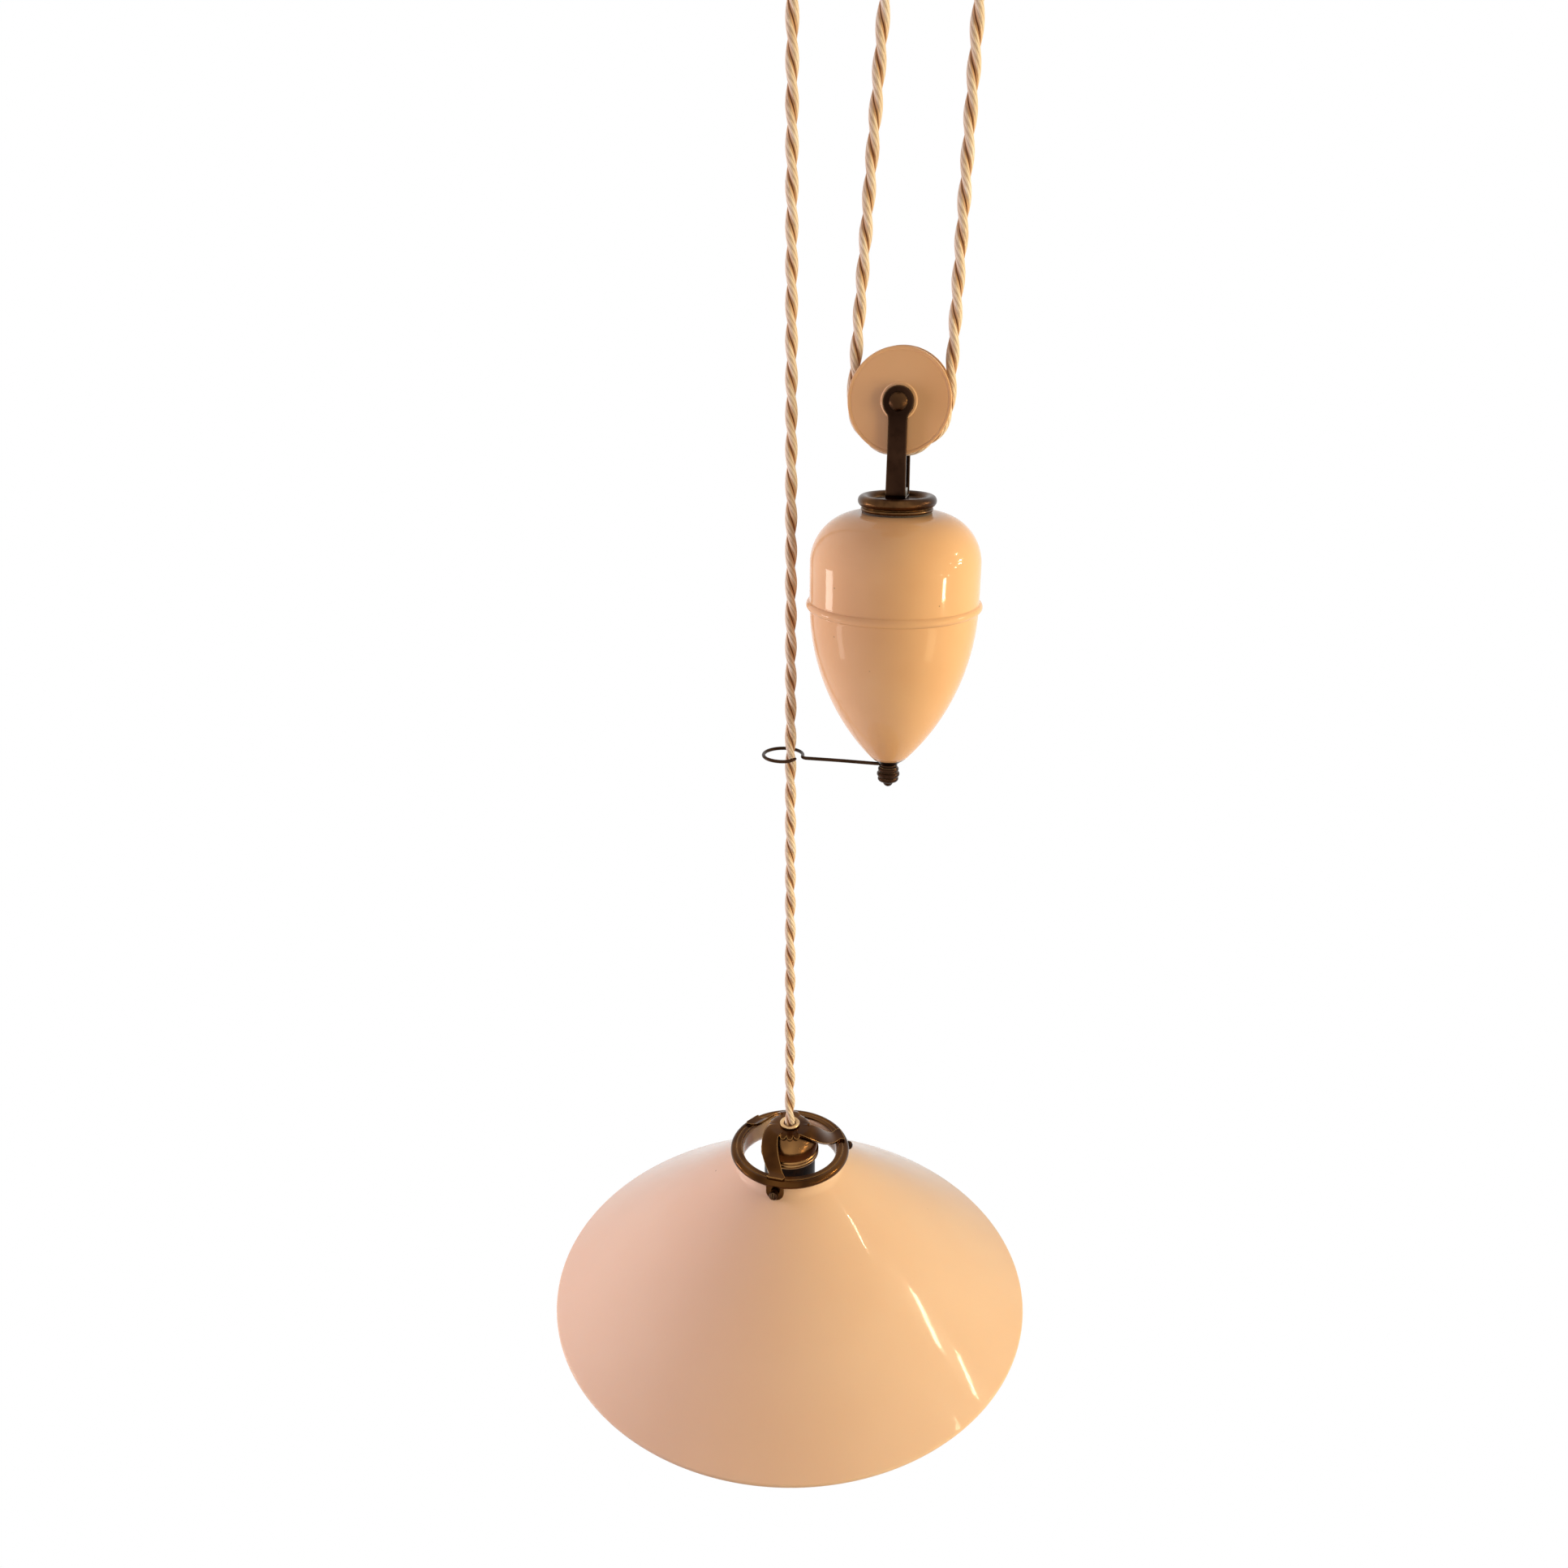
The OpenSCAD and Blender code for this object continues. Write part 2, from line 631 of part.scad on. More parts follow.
// A turned collar under the canopy with a threaded tube through it
module cord_grip() color(bright_brass) translate([anchor_x, 0, 0]) difference() {
    tube_top = -canopy_h + canopy_wall + nut_h + 2;
    union() {
        translate([0, 0, grip_z]) rotate_extrude() {
            polygon([[0, 0], [grip_tube_d / 2 - 0.6, 0], [grip_tube_d / 2, 1],
                     [grip_tube_d / 2, grip_h * 0.4], [grip_d / 2, grip_h - 3],
                     [grip_d / 2, grip_h], [0, grip_h]]);
        }
        translate([0, 0, -canopy_h - eps]) cylinder(d = grip_tube_d, h = tube_top + canopy_h + eps);
    }
    translate([0, 0, grip_z - eps]) cylinder(d = cord_hole, h = tube_top - grip_z + 2 * eps);
}

module grip_nut() color(bright_brass) translate([anchor_x, 0, -canopy_h + canopy_wall])
    hex_nut(grip_d, nut_h, grip_tube_d + 2 * rod_fit);

module terminal_block() color(porcelain) translate([block_x, 0, -bracket_t]) difference() {
    translate([-block_l / 2, -block_w / 2, -block_h]) cube([block_l, block_w, block_h]);
    for (side = [-1, 1]) {
        translate([0, side * pole_gap / 2, -block_h / 2]) rotate([0, 90, 0])
            cylinder(d = core_d + 1, h = block_l + 2, center = true);
        for (end = [-1, 1]) translate([end * block_l / 3, side * pole_gap / 2, -block_h - eps])
            cylinder(d = terminal_d + 2 * play, h = block_h / 2);
    }
    translate([0, 0, -block_h - eps]) cylinder(d = terminal_d + 2 * rod_fit, h = block_h + 2 * eps);
}

module terminal_screws() color(bright_brass) translate([block_x, 0, -bracket_t - block_h])
    for (side = [-1, 1], end = [-1, 1])
        translate([end * block_l / 3, side * pole_gap / 2, 0]) difference() {
            length = (block_h - core_d) / 2 - 2 * play;
            translate([0, 0, 0.5]) cylinder(d = terminal_d, h = length - 0.5);
            translate([-terminal_d, -slot_w / 4, 0]) cube([2 * terminal_d, slot_w / 2, 1.3]);
        }

module terminal_fixing() color(steel) translate([block_x, 0, -bracket_t - block_h]) {
    mirror([0, 0, 1]) difference() {
        rotate_extrude() dome_outline(terminal_d * 1.9, terminal_d * 0.6);
        translate([-terminal_d, -slot_w / 2, terminal_d * 0.3]) cube([2 * terminal_d, slot_w, terminal_d]);
    }
    translate([0, 0, -eps]) cylinder(d = terminal_d, h = block_h + bracket_t * 0.8);
}

// ---- counterweight ----------------------------------------------------------------------

// Half outline of the body about its bead, drawn in by inset: a long belly curve, an upright wall
// and a round shoulder
module body_outline(inset, floor_t) {
    r = body_d / 2;
    foot = floor_t - belly_h;
    polygon(concat([[0, foot]],
        arc([r - belly_r, belly_lift], belly_r - inset, asin((foot - belly_lift) / (belly_r - inset)), 0, 30),
        arc([r - shoulder_r, shoulder_z], shoulder_r - inset, 0, 90, 18),
        [[0, crown_h - inset]]));
}

module weight_body() color(porcelain) at_weight() translate([0, 0, bead_z]) difference() {
    rotate_extrude() {
        difference() {
            body_outline(0, 0);
            body_outline(body_wall, body_floor);
        }
        intersection() {
            translate([body_d / 2 + bead_rise - bead_t / 2, 0]) circle(d = bead_t, $fn = 48);
            translate([body_d / 2 - body_wall / 2, -bead_t]) square([body_wall + bead_t, 2 * bead_t]);
        }
    }
    translate([0, 0, crown_h - body_wall - eps]) cylinder(d = fill_hole_d, h = body_wall + 2 * eps);
    translate([0, 0, -belly_h - eps]) cylinder(d = rod_hole, h = body_floor + 2 * eps);
}

module weight_ballast() color(lead) at_weight() translate([0, 0, bead_z]) difference() {
    rotate_extrude() intersection() {
        body_outline(body_wall + ballast_gap, body_floor + ballast_gap);
        translate([0, -belly_h]) square([body_d, body_floor + ballast_gap + ballast_h]);
    }
    translate([0, 0, -belly_h]) cylinder(d = rod_hole + 1, h = belly_h + crown_h);
}

module weight_cap() color(brass) at_weight() translate([0, 0, felt_z + felt_t]) difference() {
    plate_top = cap_foot_h + cap_plate_t;
    rim_z = cap_foot_h + cap_rim_t / 2;
    union() {
        rotate_extrude() {
            square([cap_foot_d / 2, cap_foot_h]);
            square([(cap_d - cap_rim_t) / 2, plate_top]);
            translate([(cap_d - cap_rim_t) / 2, rim_z]) circle(d = cap_rim_t);
        }
        translate([0, 0, -spigot_h])
            tube(fill_hole_d / 2 - rod_fit, fill_hole_d / 2 - spigot_wall - rod_fit, spigot_h + eps);
    }
    translate([0, 0, -eps]) cylinder(d = rod_hole, h = plate_top + 2 * eps);
}

module cap_felt() color(felt) at_weight() translate([0, 0, felt_z])
    tube(cap_foot_d / 2 - 0.6, fill_hole_d / 2, felt_t);

module weight_rod() color(steel) at_weight() {
    top = -weight_yoke_h + strap_t + nut_h + 1;
    foot = finial_z - finial_bore + 0.5;
    translate([0, 0, foot]) cylinder(d = rod_d, h = top - foot);
}

module rod_nut() color(steel) at_weight() translate([0, 0, -weight_yoke_h + strap_t])
    hex_nut(nut_af, nut_h, rod_hole);

module finial_cup() color(brass) at_weight() translate([0, 0, cup_z]) difference() {
    rotate_extrude() polygon([[0, 0], [finial_ring_d / 2 - 0.3, 0], [cup_d / 2 - 0.6, cup_h - 0.7],
                              [cup_d / 2, cup_h], [0, cup_h]]);
    translate([0, 0, -eps]) cylinder(d = rod_hole, h = cup_h + 2 * eps);
}

// A turned nut in the shape of a beehive, with a blunt nose
module finial_nut() color(brass) at_weight() translate([0, 0, finial_z]) difference() {
    step = finial_h * 0.24;
    ring_r = step * 0.55;
    nose_r = finial_nose_d / 2;
    ring_turn = 60;
    rotate_extrude() polygon(concat([[0, 0]],
        [for (ring = [[0.55, finial_ring_d], [1.55, finial_d], [2.5, finial_ring_d]])
            each arc([ring[1] / 2 - ring_r, -step * ring[0]], ring_r, ring_turn, -ring_turn, 8)],
        arc([0, nose_r - finial_h], nose_r, -15, -90, 6)));
    translate([0, 0, -finial_bore]) cylinder(d = rod_hole, h = finial_bore + eps);
}

// One length of wire: an eye round the rod, a straight arm, a bend and an open loop that passes
// behind the lamp cord, round it and back in front
module guide_wire() color(brass) at_weight() translate([0, 0, wire_z]) {
    wire_r = wire_d / 2;
    loop_r = loop_d / 2 - wire_r;
    bend_r = wire_bend_r + wire_r;
    loop_x = -weight_gap - loop_shift;
    arm_end = loop_x + loop_r + bend_r;
    rotate_extrude() translate([eye_ring_r, 0]) circle(r = wire_r, $fn = 24);
    translate([arm_end, 0, 0]) rotate([0, 90, 0]) cylinder(r = wire_r, h = -eye_ring_r - arm_end, $fn = 24);
    translate([arm_end, bend_r, 0]) rotate([0, 0, 180])
        rotate_extrude(angle = 90) translate([bend_r, 0]) circle(r = wire_r, $fn = 24);
    translate([loop_x, bend_r, 0])
        rotate_extrude(angle = loop_turn) translate([loop_r, 0]) circle(r = wire_r, $fn = 24);
}

// ---- gallery and shade ------------------------------------------------------------------

// Half outline of the glass: an upright neck with a lip, a hollow bend, a cone and a round rim
module shade_outline() {
    half_t = glass_t / 2;
    top = -gallery_t - seat_gap;
    bend_at = [neck_r + neck_fillet, -neck_drop];
    rim_at = [shade_d / 2 - half_t, -shade_drop + half_t];
    away = rim_at - bend_at;
    turn = atan2(away[1], away[0]) - acos((neck_fillet + half_t) / norm(away)) + 360;
    polygon(concat(
        [[neck_r - glass_t, top], [lip_outer, top], [lip_outer, top - neck_lip_h],
         [neck_r, top - neck_lip_h - neck_lip]],
        arc(bend_at, neck_fillet, 180, turn, 8),
        arc(rim_at, half_t, turn - 180, turn - 360, 12),
        arc(bend_at, neck_fillet + glass_t, turn, 180, 8)));
}

module shade() color(opal) at_lamp() rotate_extrude($fn = 180) shade_outline();

// The tab under the roll that holds a screw
module lug() {
    difference() {
        union() {
            translate([lug_in, -lug_w / 2, -lug_drop])
                cube([spider_t, lug_w, lug_drop - gallery_bead_t / 2]);
            translate([lug_in, 0, -lug_drop]) rotate([0, 90, 0]) cylinder(d = lug_w, h = spider_t);
        }
        translate([lug_in - 1, 0, -lug_drop]) rotate([0, 90, 0])
            cylinder(d = shade_screw_d + 2 * play, h = spider_t + 2);
    }
}

// A flat flange on the glass, a skirt round its lip, a full roll outside, a bead at the foot and
// three lugs
module gallery_ring() color(brass) at_lamp() {
    rotate_extrude() {
        translate([arm_land, -gallery_t]) square([gallery_flange, gallery_t]);
        translate([skirt_in, -gallery_h]) square([gallery_t, gallery_h]);
        intersection() {
            translate([roll_r, -gallery_bead_t / 2]) circle(d = gallery_bead_t);
            translate([skirt_in, -gallery_bead_t]) square([gallery_r, gallery_bead_t]);
        }
        translate([skirt_out, -gallery_h + gallery_t / 2]) circle(d = gallery_t, $fn = 48);
    }
    for (arm_i = [0 : 2]) rotate([0, 0, arm_angle + 120 * arm_i]) lug();
}

function smooth(t) = t * t * (3 - 2 * t);

// Middle line of an arm: level out of the crown, swinging round as it goes, then down to the flange
// and level again on it
function arm_point(t) =
    let (r = arm_root + (roll_r - arm_root) * t,
         a = -arm_swirl * pow(1 - smooth(t), 1.2),
         fall = smooth(min(1, max(0, (r - arm_bend) / (arm_land - arm_bend)))),
         z = (crown_z - spider_t / 2) * (1 - fall) + spider_t / 2 * fall)
    [r * cos(a), r * sin(a), z];

// A flat strip swept along the middle line, wide where it leaves the crown; it is a little thinner
// than the crown, so that both of its faces start inside it
module arm() {
    steps = 26;
    rings = [for (i = [0 : steps])
        let (t = i / steps, p = arm_point(t),
             half = [(arm_w + (arm_tip_w - arm_w) * t) / 2 + arm_flare * pow(max(0, 1 - 2 * t), 2),
                     spider_t / 2 - play],
             ahead = arm_point(min(1, t + 0.02)) - arm_point(max(0, t - 0.02)),
             side = cross([0, 0, 1], ahead) / norm(cross([0, 0, 1], ahead)),
             up = cross(ahead, side) / norm(cross(ahead, side)))
        [p - side * half[0] - up * half[1], p + side * half[0] - up * half[1],
         p + side * half[0] + up * half[1], p - side * half[0] + up * half[1]]];
    points = [for (ring = rings) each ring];
    walls = [for (i = [0 : steps - 1], k = [0 : 3])
        let (a = 4 * i + k, b = 4 * i + (k + 1) % 4)
        each [[a, a + 4, b], [b, a + 4, b + 4]]];
    last = 4 * steps;
    polyhedron(points, concat([[0, 1, 2], [0, 2, 3]], walls,
        [[last, last + 2, last + 1], [last, last + 3, last + 2]]));
}

// A stamped crown with scalloped edges and three arms, each soldered on the flange
module gallery_spider() color(brass) at_lamp() difference() {
    union() {
        translate([0, 0, crown_under]) {
            cylinder(d = crown_d, h = spider_t);
            for (arm_i = [0 : 2], k = [-1 : 1])
                rotate([0, 0, arm_angle - arm_swirl + 120 * arm_i + 60 + k * scallop_turn])
                    translate([crown_d / 2 - 2 * bite, 0, 0])
                        cylinder(d = scallop_d, h = spider_t, $fn = 32);
        }
        for (arm_i = [0 : 2]) rotate([0, 0, arm_angle + 120 * arm_i]) {
            arm();
            translate([(arm_land + roll_r) / 2, 0, 0]) cylinder(d = solder_d, h = spider_t / 2);
        }
    }
    translate([0, 0, crown_under - 1]) cylinder(d = nipple_d + 2 * nipple_fit, h = spider_t + 2);
}

// Slotted round head on a neck, with the shank towards the glass
module shade_screw(i) color(brass) at_lamp() rotate([0, 0, arm_angle + 120 * i])
    translate([lug_out, 0, -lug_drop]) rotate([0, 90, 0]) difference() {
        union() {
            translate([0, 0, shade_screw_neck_l])
                rotate_extrude() dome_outline(shade_screw_head_d, shade_screw_head_h);
            cylinder(d = shade_screw_neck_d, h = shade_screw_neck_l);
            translate([0, 0, neck_r + tip_gap - lug_out])
                cylinder(d = shade_screw_d, h = lug_out - neck_r - tip_gap + eps);
        }
        translate([-shade_screw_head_d, -slot_w / 2, shade_screw_neck_l + shade_screw_head_h / 2])
            cube([2 * shade_screw_head_d, slot_w, shade_screw_head_h]);
    }
module shade_screw_1() shade_screw(0);
module shade_screw_2() shade_screw(1);
module shade_screw_3() shade_screw(2);

// ---- cord entry and lamp holder ---------------------------------------------------------

// A low turned eyelet screwed on the top of the nipple
module cord_bush() color(bright_brass) at_lamp() translate([0, 0, crown_z]) difference() {
    rotate_extrude() {
        square([bush_d / 2 - bush_lip, bush_h]);
        square([bush_d / 2, bush_h - bush_lip]);
        translate([bush_d / 2 - bush_lip, bush_h - bush_lip]) circle(r = bush_lip, $fn = 48);
    }
    translate([0, 0, -eps]) cylinder(d = nipple_d + 2 * nipple_fit, h = nipple_rise + play + eps);
    cylinder(d = cord_hole, h = bush_h + 1);
    translate([0, 0, bush_h - bush_lip])
        cylinder(d1 = cord_hole, d2 = cord_hole + 2 * bush_lip, h = bush_lip + eps);
}

module holder_nipple() color(bright_brass) at_lamp()
    translate([0, 0, crown_z + nipple_rise - nipple_l]) tube(nipple_d / 2, cord_hole / 2, nipple_l);

module holder_locknut() color(bright_brass) at_lamp()
    translate([0, 0, crown_under - dome_wall - locknut_h])
        hex_nut(locknut_af, locknut_h, nipple_d + 2 * nipple_fit);

// Half outline of the dome: a flat seat for the lock nut, a long round shoulder and an upright
// skirt, drawn in by inset and carried on below its foot
module dome_half(inset, below) {
    r = dome_in + dome_wall - inset;
    shoulder = r - dome_flat;
    h = dome_h - inset;
    translate([0, -below]) square([r, h - shoulder + below]);
    square([r - shoulder, h]);
    intersection() {
        translate([r - shoulder, h - shoulder]) circle(r = shoulder);
        square([r, h]);
    }
}

module holder_dome() color(brass) at_lamp() translate([0, 0, dome_foot]) difference() {
    rotate_extrude() {
        difference() {
            dome_half(0, 0);
            dome_half(dome_wall, eps);
        }
        for (z = [dome_bead_t / 2, dome_bead_t * 1.4])
            intersection() {
                translate([dome_d / 2 - dome_bead_t / 2, z]) circle(d = dome_bead_t, $fn = 48);
                translate([dome_in, 0]) square([dome_d, dome_h]);
            }
    }
    translate([0, 0, dome_h - dome_wall - eps]) cylinder(d = nipple_d + 2 * nipple_fit, h = dome_wall + 1);
}

module holder_barrel() color(bakelite) at_lamp() translate([0, 0, barrel_foot])
    tube(barrel_d / 2, barrel_d / 2 - barrel_wall, barrel_l);

// A porcelain block with a collar on top of the socket; the contacts slide in its two bores
module holder_insert() color(porcelain) at_lamp() translate([0, 0, insert_foot]) difference() {
    union() {
        cylinder(r = barrel_d / 2 - barrel_wall - holder_gap, h = insert_l);
        translate([0, 0, -collar_h]) tube(socket_r, socket_bore / 2 + holder_gap, collar_h + eps);
    }
    for (side = [-1, 1]) translate([side * contact_gap / 2, 0, -eps])
        cylinder(d = contact_d + 2 * axle_fit, h = contact_depth + 4);
}

module holder_terminals() color(bright_brass) at_lamp() translate([0, 0, insert_top])
    for (side = [-1, 1]) translate([side * contact_gap / 2, 0, 0]) difference() {
        cylinder(d = holder_terminal_d, h = holder_terminal_h);
        translate([0, 0, holder_terminal_h / 2]) rotate([90, 0, 0])
            cylinder(d = slot_w * 1.6, h = holder_terminal_d, center = true);
    }

// The socket tube with two bayonet slots, which run up, round the same way and back a little
module holder_socket() color(bright_brass) at_lamp() translate([0, 0, socket_foot]) difference() {
    tube(socket_r, socket_bore / 2, socket_l);
    notch_z = bayonet_h - bayonet_w - bayonet_notch;
    notch_h = bayonet_notch + bayonet_w * 0.75;
    for (half_turn = [0, 180]) rotate([0, 0, half_turn]) {
        translate([socket_bore / 2 - 1, -bayonet_w / 2, -1]) cube([socket_wall + 2, bayonet_w, bayonet_h + 1]);
        translate([0, 0, bayonet_h - bayonet_w]) rotate_extrude(angle = bayonet_turn)
            translate([socket_bore / 2 - 1, 0]) square([socket_wall + 2, bayonet_w]);
        rotate([0, 0, bayonet_turn]) translate([socket_bore / 2 - 1, -bayonet_w / 2, notch_z])
            cube([socket_wall + 2, bayonet_w, notch_h]);
    }
}

// The ring that closes the foot of the barrel round the socket
module holder_ring() color(bakelite) at_lamp() translate([0, 0, ring_top - ring_h])
    tube(ring_d / 2, socket_r + holder_gap, ring_h);

module contact_pins() color(bright_brass) at_lamp() for (side = [-1, 1])
    translate([side * contact_gap / 2, 0, insert_foot - contact_reach]) {
        cylinder(d = contact_head_d, h = contact_head_h);
        cylinder(d = contact_d, h = contact_reach + contact_depth);
    }

ceiling_bracket();
canopy();
block_bolt();
block_nuts();
block_yoke();
block_axle();
block_washers();
block_pulley();
cord_grip();
grip_nut();
terminal_block();
terminal_screws();
terminal_fixing();
anchor_tail();
ceiling_bend();
left_strand();
right_strand();
lamp_strand();
weight_bend();
weight_pulley();
weight_axle();
weight_washers();
weight_yoke();
rod_nut();
weight_rod();
weight_cap();
cap_felt();
weight_body();
weight_ballast();
finial_cup();
guide_wire();
finial_nut();
cord_bush();
holder_nipple();
holder_locknut();
gallery_spider();
gallery_ring();
shade_screw_1();
shade_screw_2();
shade_screw_3();
shade();
holder_dome();
holder_barrel();
holder_insert();
holder_terminals();
holder_socket();
holder_ring();
contact_pins();
lamp_tail();
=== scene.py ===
import math

import bmesh
import bpy
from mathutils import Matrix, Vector


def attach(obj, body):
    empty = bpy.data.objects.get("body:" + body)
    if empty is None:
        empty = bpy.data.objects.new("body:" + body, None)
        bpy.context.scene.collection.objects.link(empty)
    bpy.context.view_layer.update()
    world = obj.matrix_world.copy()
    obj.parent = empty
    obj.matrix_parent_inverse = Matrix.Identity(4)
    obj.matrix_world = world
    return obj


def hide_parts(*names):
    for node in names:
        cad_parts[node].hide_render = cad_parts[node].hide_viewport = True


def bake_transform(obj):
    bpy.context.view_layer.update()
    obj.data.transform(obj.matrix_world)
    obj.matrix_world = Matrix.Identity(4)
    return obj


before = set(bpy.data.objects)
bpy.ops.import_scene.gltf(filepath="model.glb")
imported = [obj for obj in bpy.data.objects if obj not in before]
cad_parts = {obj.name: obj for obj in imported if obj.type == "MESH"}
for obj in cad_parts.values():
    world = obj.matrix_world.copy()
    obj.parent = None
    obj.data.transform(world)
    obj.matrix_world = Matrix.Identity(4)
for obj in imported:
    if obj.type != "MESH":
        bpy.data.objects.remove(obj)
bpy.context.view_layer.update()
scene = bpy.context.scene
scene.view_settings.view_transform = "Standard"

# ---- Camera -------------------------------------------------------------------------------
# The photograph is taken from just above the shade, a little to the right of the lamp cord,
# looking down on the gallery and across the plane that the cords hang in.
camera = bpy.data.objects.new("camera", bpy.data.cameras.new("camera"))
camera.data.lens = 28.02
camera.data.sensor_width = 36
camera.location = (0.0807, -0.5821, -0.2095)
camera.rotation_euler = (math.radians(68.57), 0, math.radians(12))
scene.collection.objects.link(camera)
scene.camera = camera


# ---- Room ---------------------------------------------------------------------------------
# A white studio: pale floor far below the lamp, white surroundings, a soft pinkish light from the
# left and a warm one from the right. The gloss mirrors a window, two low lights and some bulbs.
def new_material(name):
    """A material with nothing in it yet, and its tree."""
    material = bpy.data.materials.new(name)
    material.use_nodes = True
    tree = material.node_tree
    tree.nodes.clear()
    return material, tree


def node(tree, kind, values=None, **settings):
    """Adds a node; a value that is a socket is linked, any other is set on the node's own socket."""
    made = tree.nodes.new(kind)
    for key, value in settings.items():
        setattr(made, key, value)
    for key, value in (values or {}).items():
        if isinstance(value, bpy.types.NodeSocket):
            tree.links.new(value, made.inputs[key])
        else:
            made.inputs[key].default_value = value
    return made


def maths(tree, kind, *values):
    """One step of arithmetic on sockets and numbers."""
    return node(tree, "ShaderNodeMath", dict(enumerate(values)), operation=kind).outputs[0]


def white_to_camera(tree, surface, white, end):
    """The camera, reflections and what glass lets through see plain white, all other light the surface."""
    rays = node(tree, "ShaderNodeLightPath").outputs
    seen = maths(tree, "MAXIMUM", rays["Is Camera Ray"], maths(tree, "MAXIMUM", rays["Is Glossy Ray"],
                                                               rays["Is Transmission Ray"]))
    mix = node(tree, "ShaderNodeMixShader", {0: seen, 1: surface.outputs[0], 2: white.outputs[0]})
    node(tree, end, {"Surface": mix.outputs[0]})


world = bpy.data.worlds.new("studio")
scene.world = world
world.use_nodes = True
world.node_tree.nodes.clear()
tree = world.node_tree
white_to_camera(tree, node(tree, "ShaderNodeBackground", {"Color": (1.0, 0.76, 0.62, 1), "Strength": 0.225}),
                node(tree, "ShaderNodeBackground", {"Color": (1, 1, 1, 1), "Strength": 1.0}),
                "ShaderNodeOutputWorld")


def area_light(name, at, towards, size, power, colour, mirrored):
    """A rectangular lamp; one that isn't mirrored lights the object and leaves no reflection on it."""
    light = bpy.data.objects.new(name, bpy.data.lights.new(name, "AREA"))
    light.data.shape = "RECTANGLE"
    light.data.size, light.data.size_y = size
    light.data.energy = power
    light.data.color = colour
    light.location = at
    light.rotation_euler = (Vector(towards) - Vector(at)).to_track_quat("-Z", "Y").to_euler()
    light.visible_glossy = mirrored
    scene.collection.objects.link(light)


AT_PENDANT, AT_URN = (-0.02, 0, -0.5), (-0.02, 0, -0.35)            # what the lights are turned to
AT_NECK, AT_CONE = (-0.04, 0, -0.68), (0.03, 0, -0.55)
area_light("cool_side", (-1.40, -0.30, -0.28), AT_PENDANT, (0.7, 1.1), 14, (1.0, 0.86, 0.98), False)
area_light("warm_side", (1.35, -0.40, -0.22), AT_PENDANT, (0.8, 1.1), 15.5, (1.0, 0.79, 0.48), False)
area_light("front", (0.2, -1.5, 0.75), AT_PENDANT, (1.1, 0.8), 1.4, (1.0, 0.78, 0.66), False)
area_light("window", (-1.25, -0.02, -0.58), AT_URN, (0.30, 0.22), 2.6, (1.0, 0.88, 0.80), True)
area_light("low_left", (-1.20, -0.40, -0.93), AT_NECK, (0.20, 0.34), 0.9, (1.0, 0.84, 0.76), True)
area_light("low_right", (0.97, -0.52, -0.86), AT_NECK, (0.24, 0.34), 1.0, (1.0, 0.74, 0.40), True)
BULBS = (                           # place, width, height and power
    ((0.917, 0.187, 0.042), 0.10, 0.022, 0.8),
    ((1.032, 0.241, -0.115), 0.15, 0.024, 1.4),
    ((1.085, 0.210, -0.182), 0.12, 0.016, 0.75),
    ((1.055, -0.087, -0.088), 0.05, 0.02, 0.15),
    ((1.178, -0.32, -0.578), 0.10, 0.04, 1.1),
    ((1.24, 0.046, -0.236), 0.08, 0.035, 0.6),
    ((0.99, -0.768, -0.37), 0.05, 0.03, 0.2),
    ((1.18, -0.20, -0.48), 0.05, 0.05, 0.35),
    ((1.16, -0.46, -0.42), 0.05, 0.03, 0.25),
)
for number, (spot, wide, high, power) in enumerate(BULBS):
    area_light("bulb_%d" % number, spot, AT_CONE, (wide, high), power, (1.0, 0.86, 0.58), True)

floor_material, tree = new_material("pale_floor")
white_to_camera(tree, node(tree, "ShaderNodeBsdfDiffuse", {"Color": (0.9, 0.89, 0.88, 1)}),
                node(tree, "ShaderNodeEmission", {"Color": (1, 1, 1, 1), "Strength": 1.0}),
                "ShaderNodeOutputMaterial")
floor_mesh = bpy.data.meshes.new("floor")
FLOOR, FLOOR_Z = 6, -1.75           # metres from its middle to its edges, and its height
floor_mesh.from_pydata([(-FLOOR, -FLOOR, FLOOR_Z), (FLOOR, -FLOOR, FLOOR_Z), (FLOOR, FLOOR, FLOOR_Z),
                        (-FLOOR, FLOOR, FLOOR_Z)], [], [(0, 1, 2, 3)])
floor_mesh.materials.append(floor_material)
floor = bpy.data.objects.new("floor", floor_mesh)
scene.collection.objects.link(floor)


# ---- Cord ---------------------------------------------------------------------------------
# Two silk covered cores twisted together to the left, ivory yellowed with age. One cord runs from
# the lamp over the ceiling pulley, under the pulley of the counterweight and up to its grip.
LAMP_X, LAMP_Z = -39.5, -672.0      # axis of the lamp and the top of its gallery
BLOCK = (-19.0, -58.0, 20.5)        # axle x, axle z and pitch radius of the ceiling pulley
WEIGHT = (11.5, -250.0, 22.2)       # the same of the counterweight's pulley
GRIP = (39.5, -40.0)                # foot of the cord grip
CORE_R, CORE_OFF = 1.9, 1.1         # a core's radius and its distance from the middle of the cord
LAY, BARE_R = 32.0, 1.1             # length of one turn of the cores, and their radius at the terminals


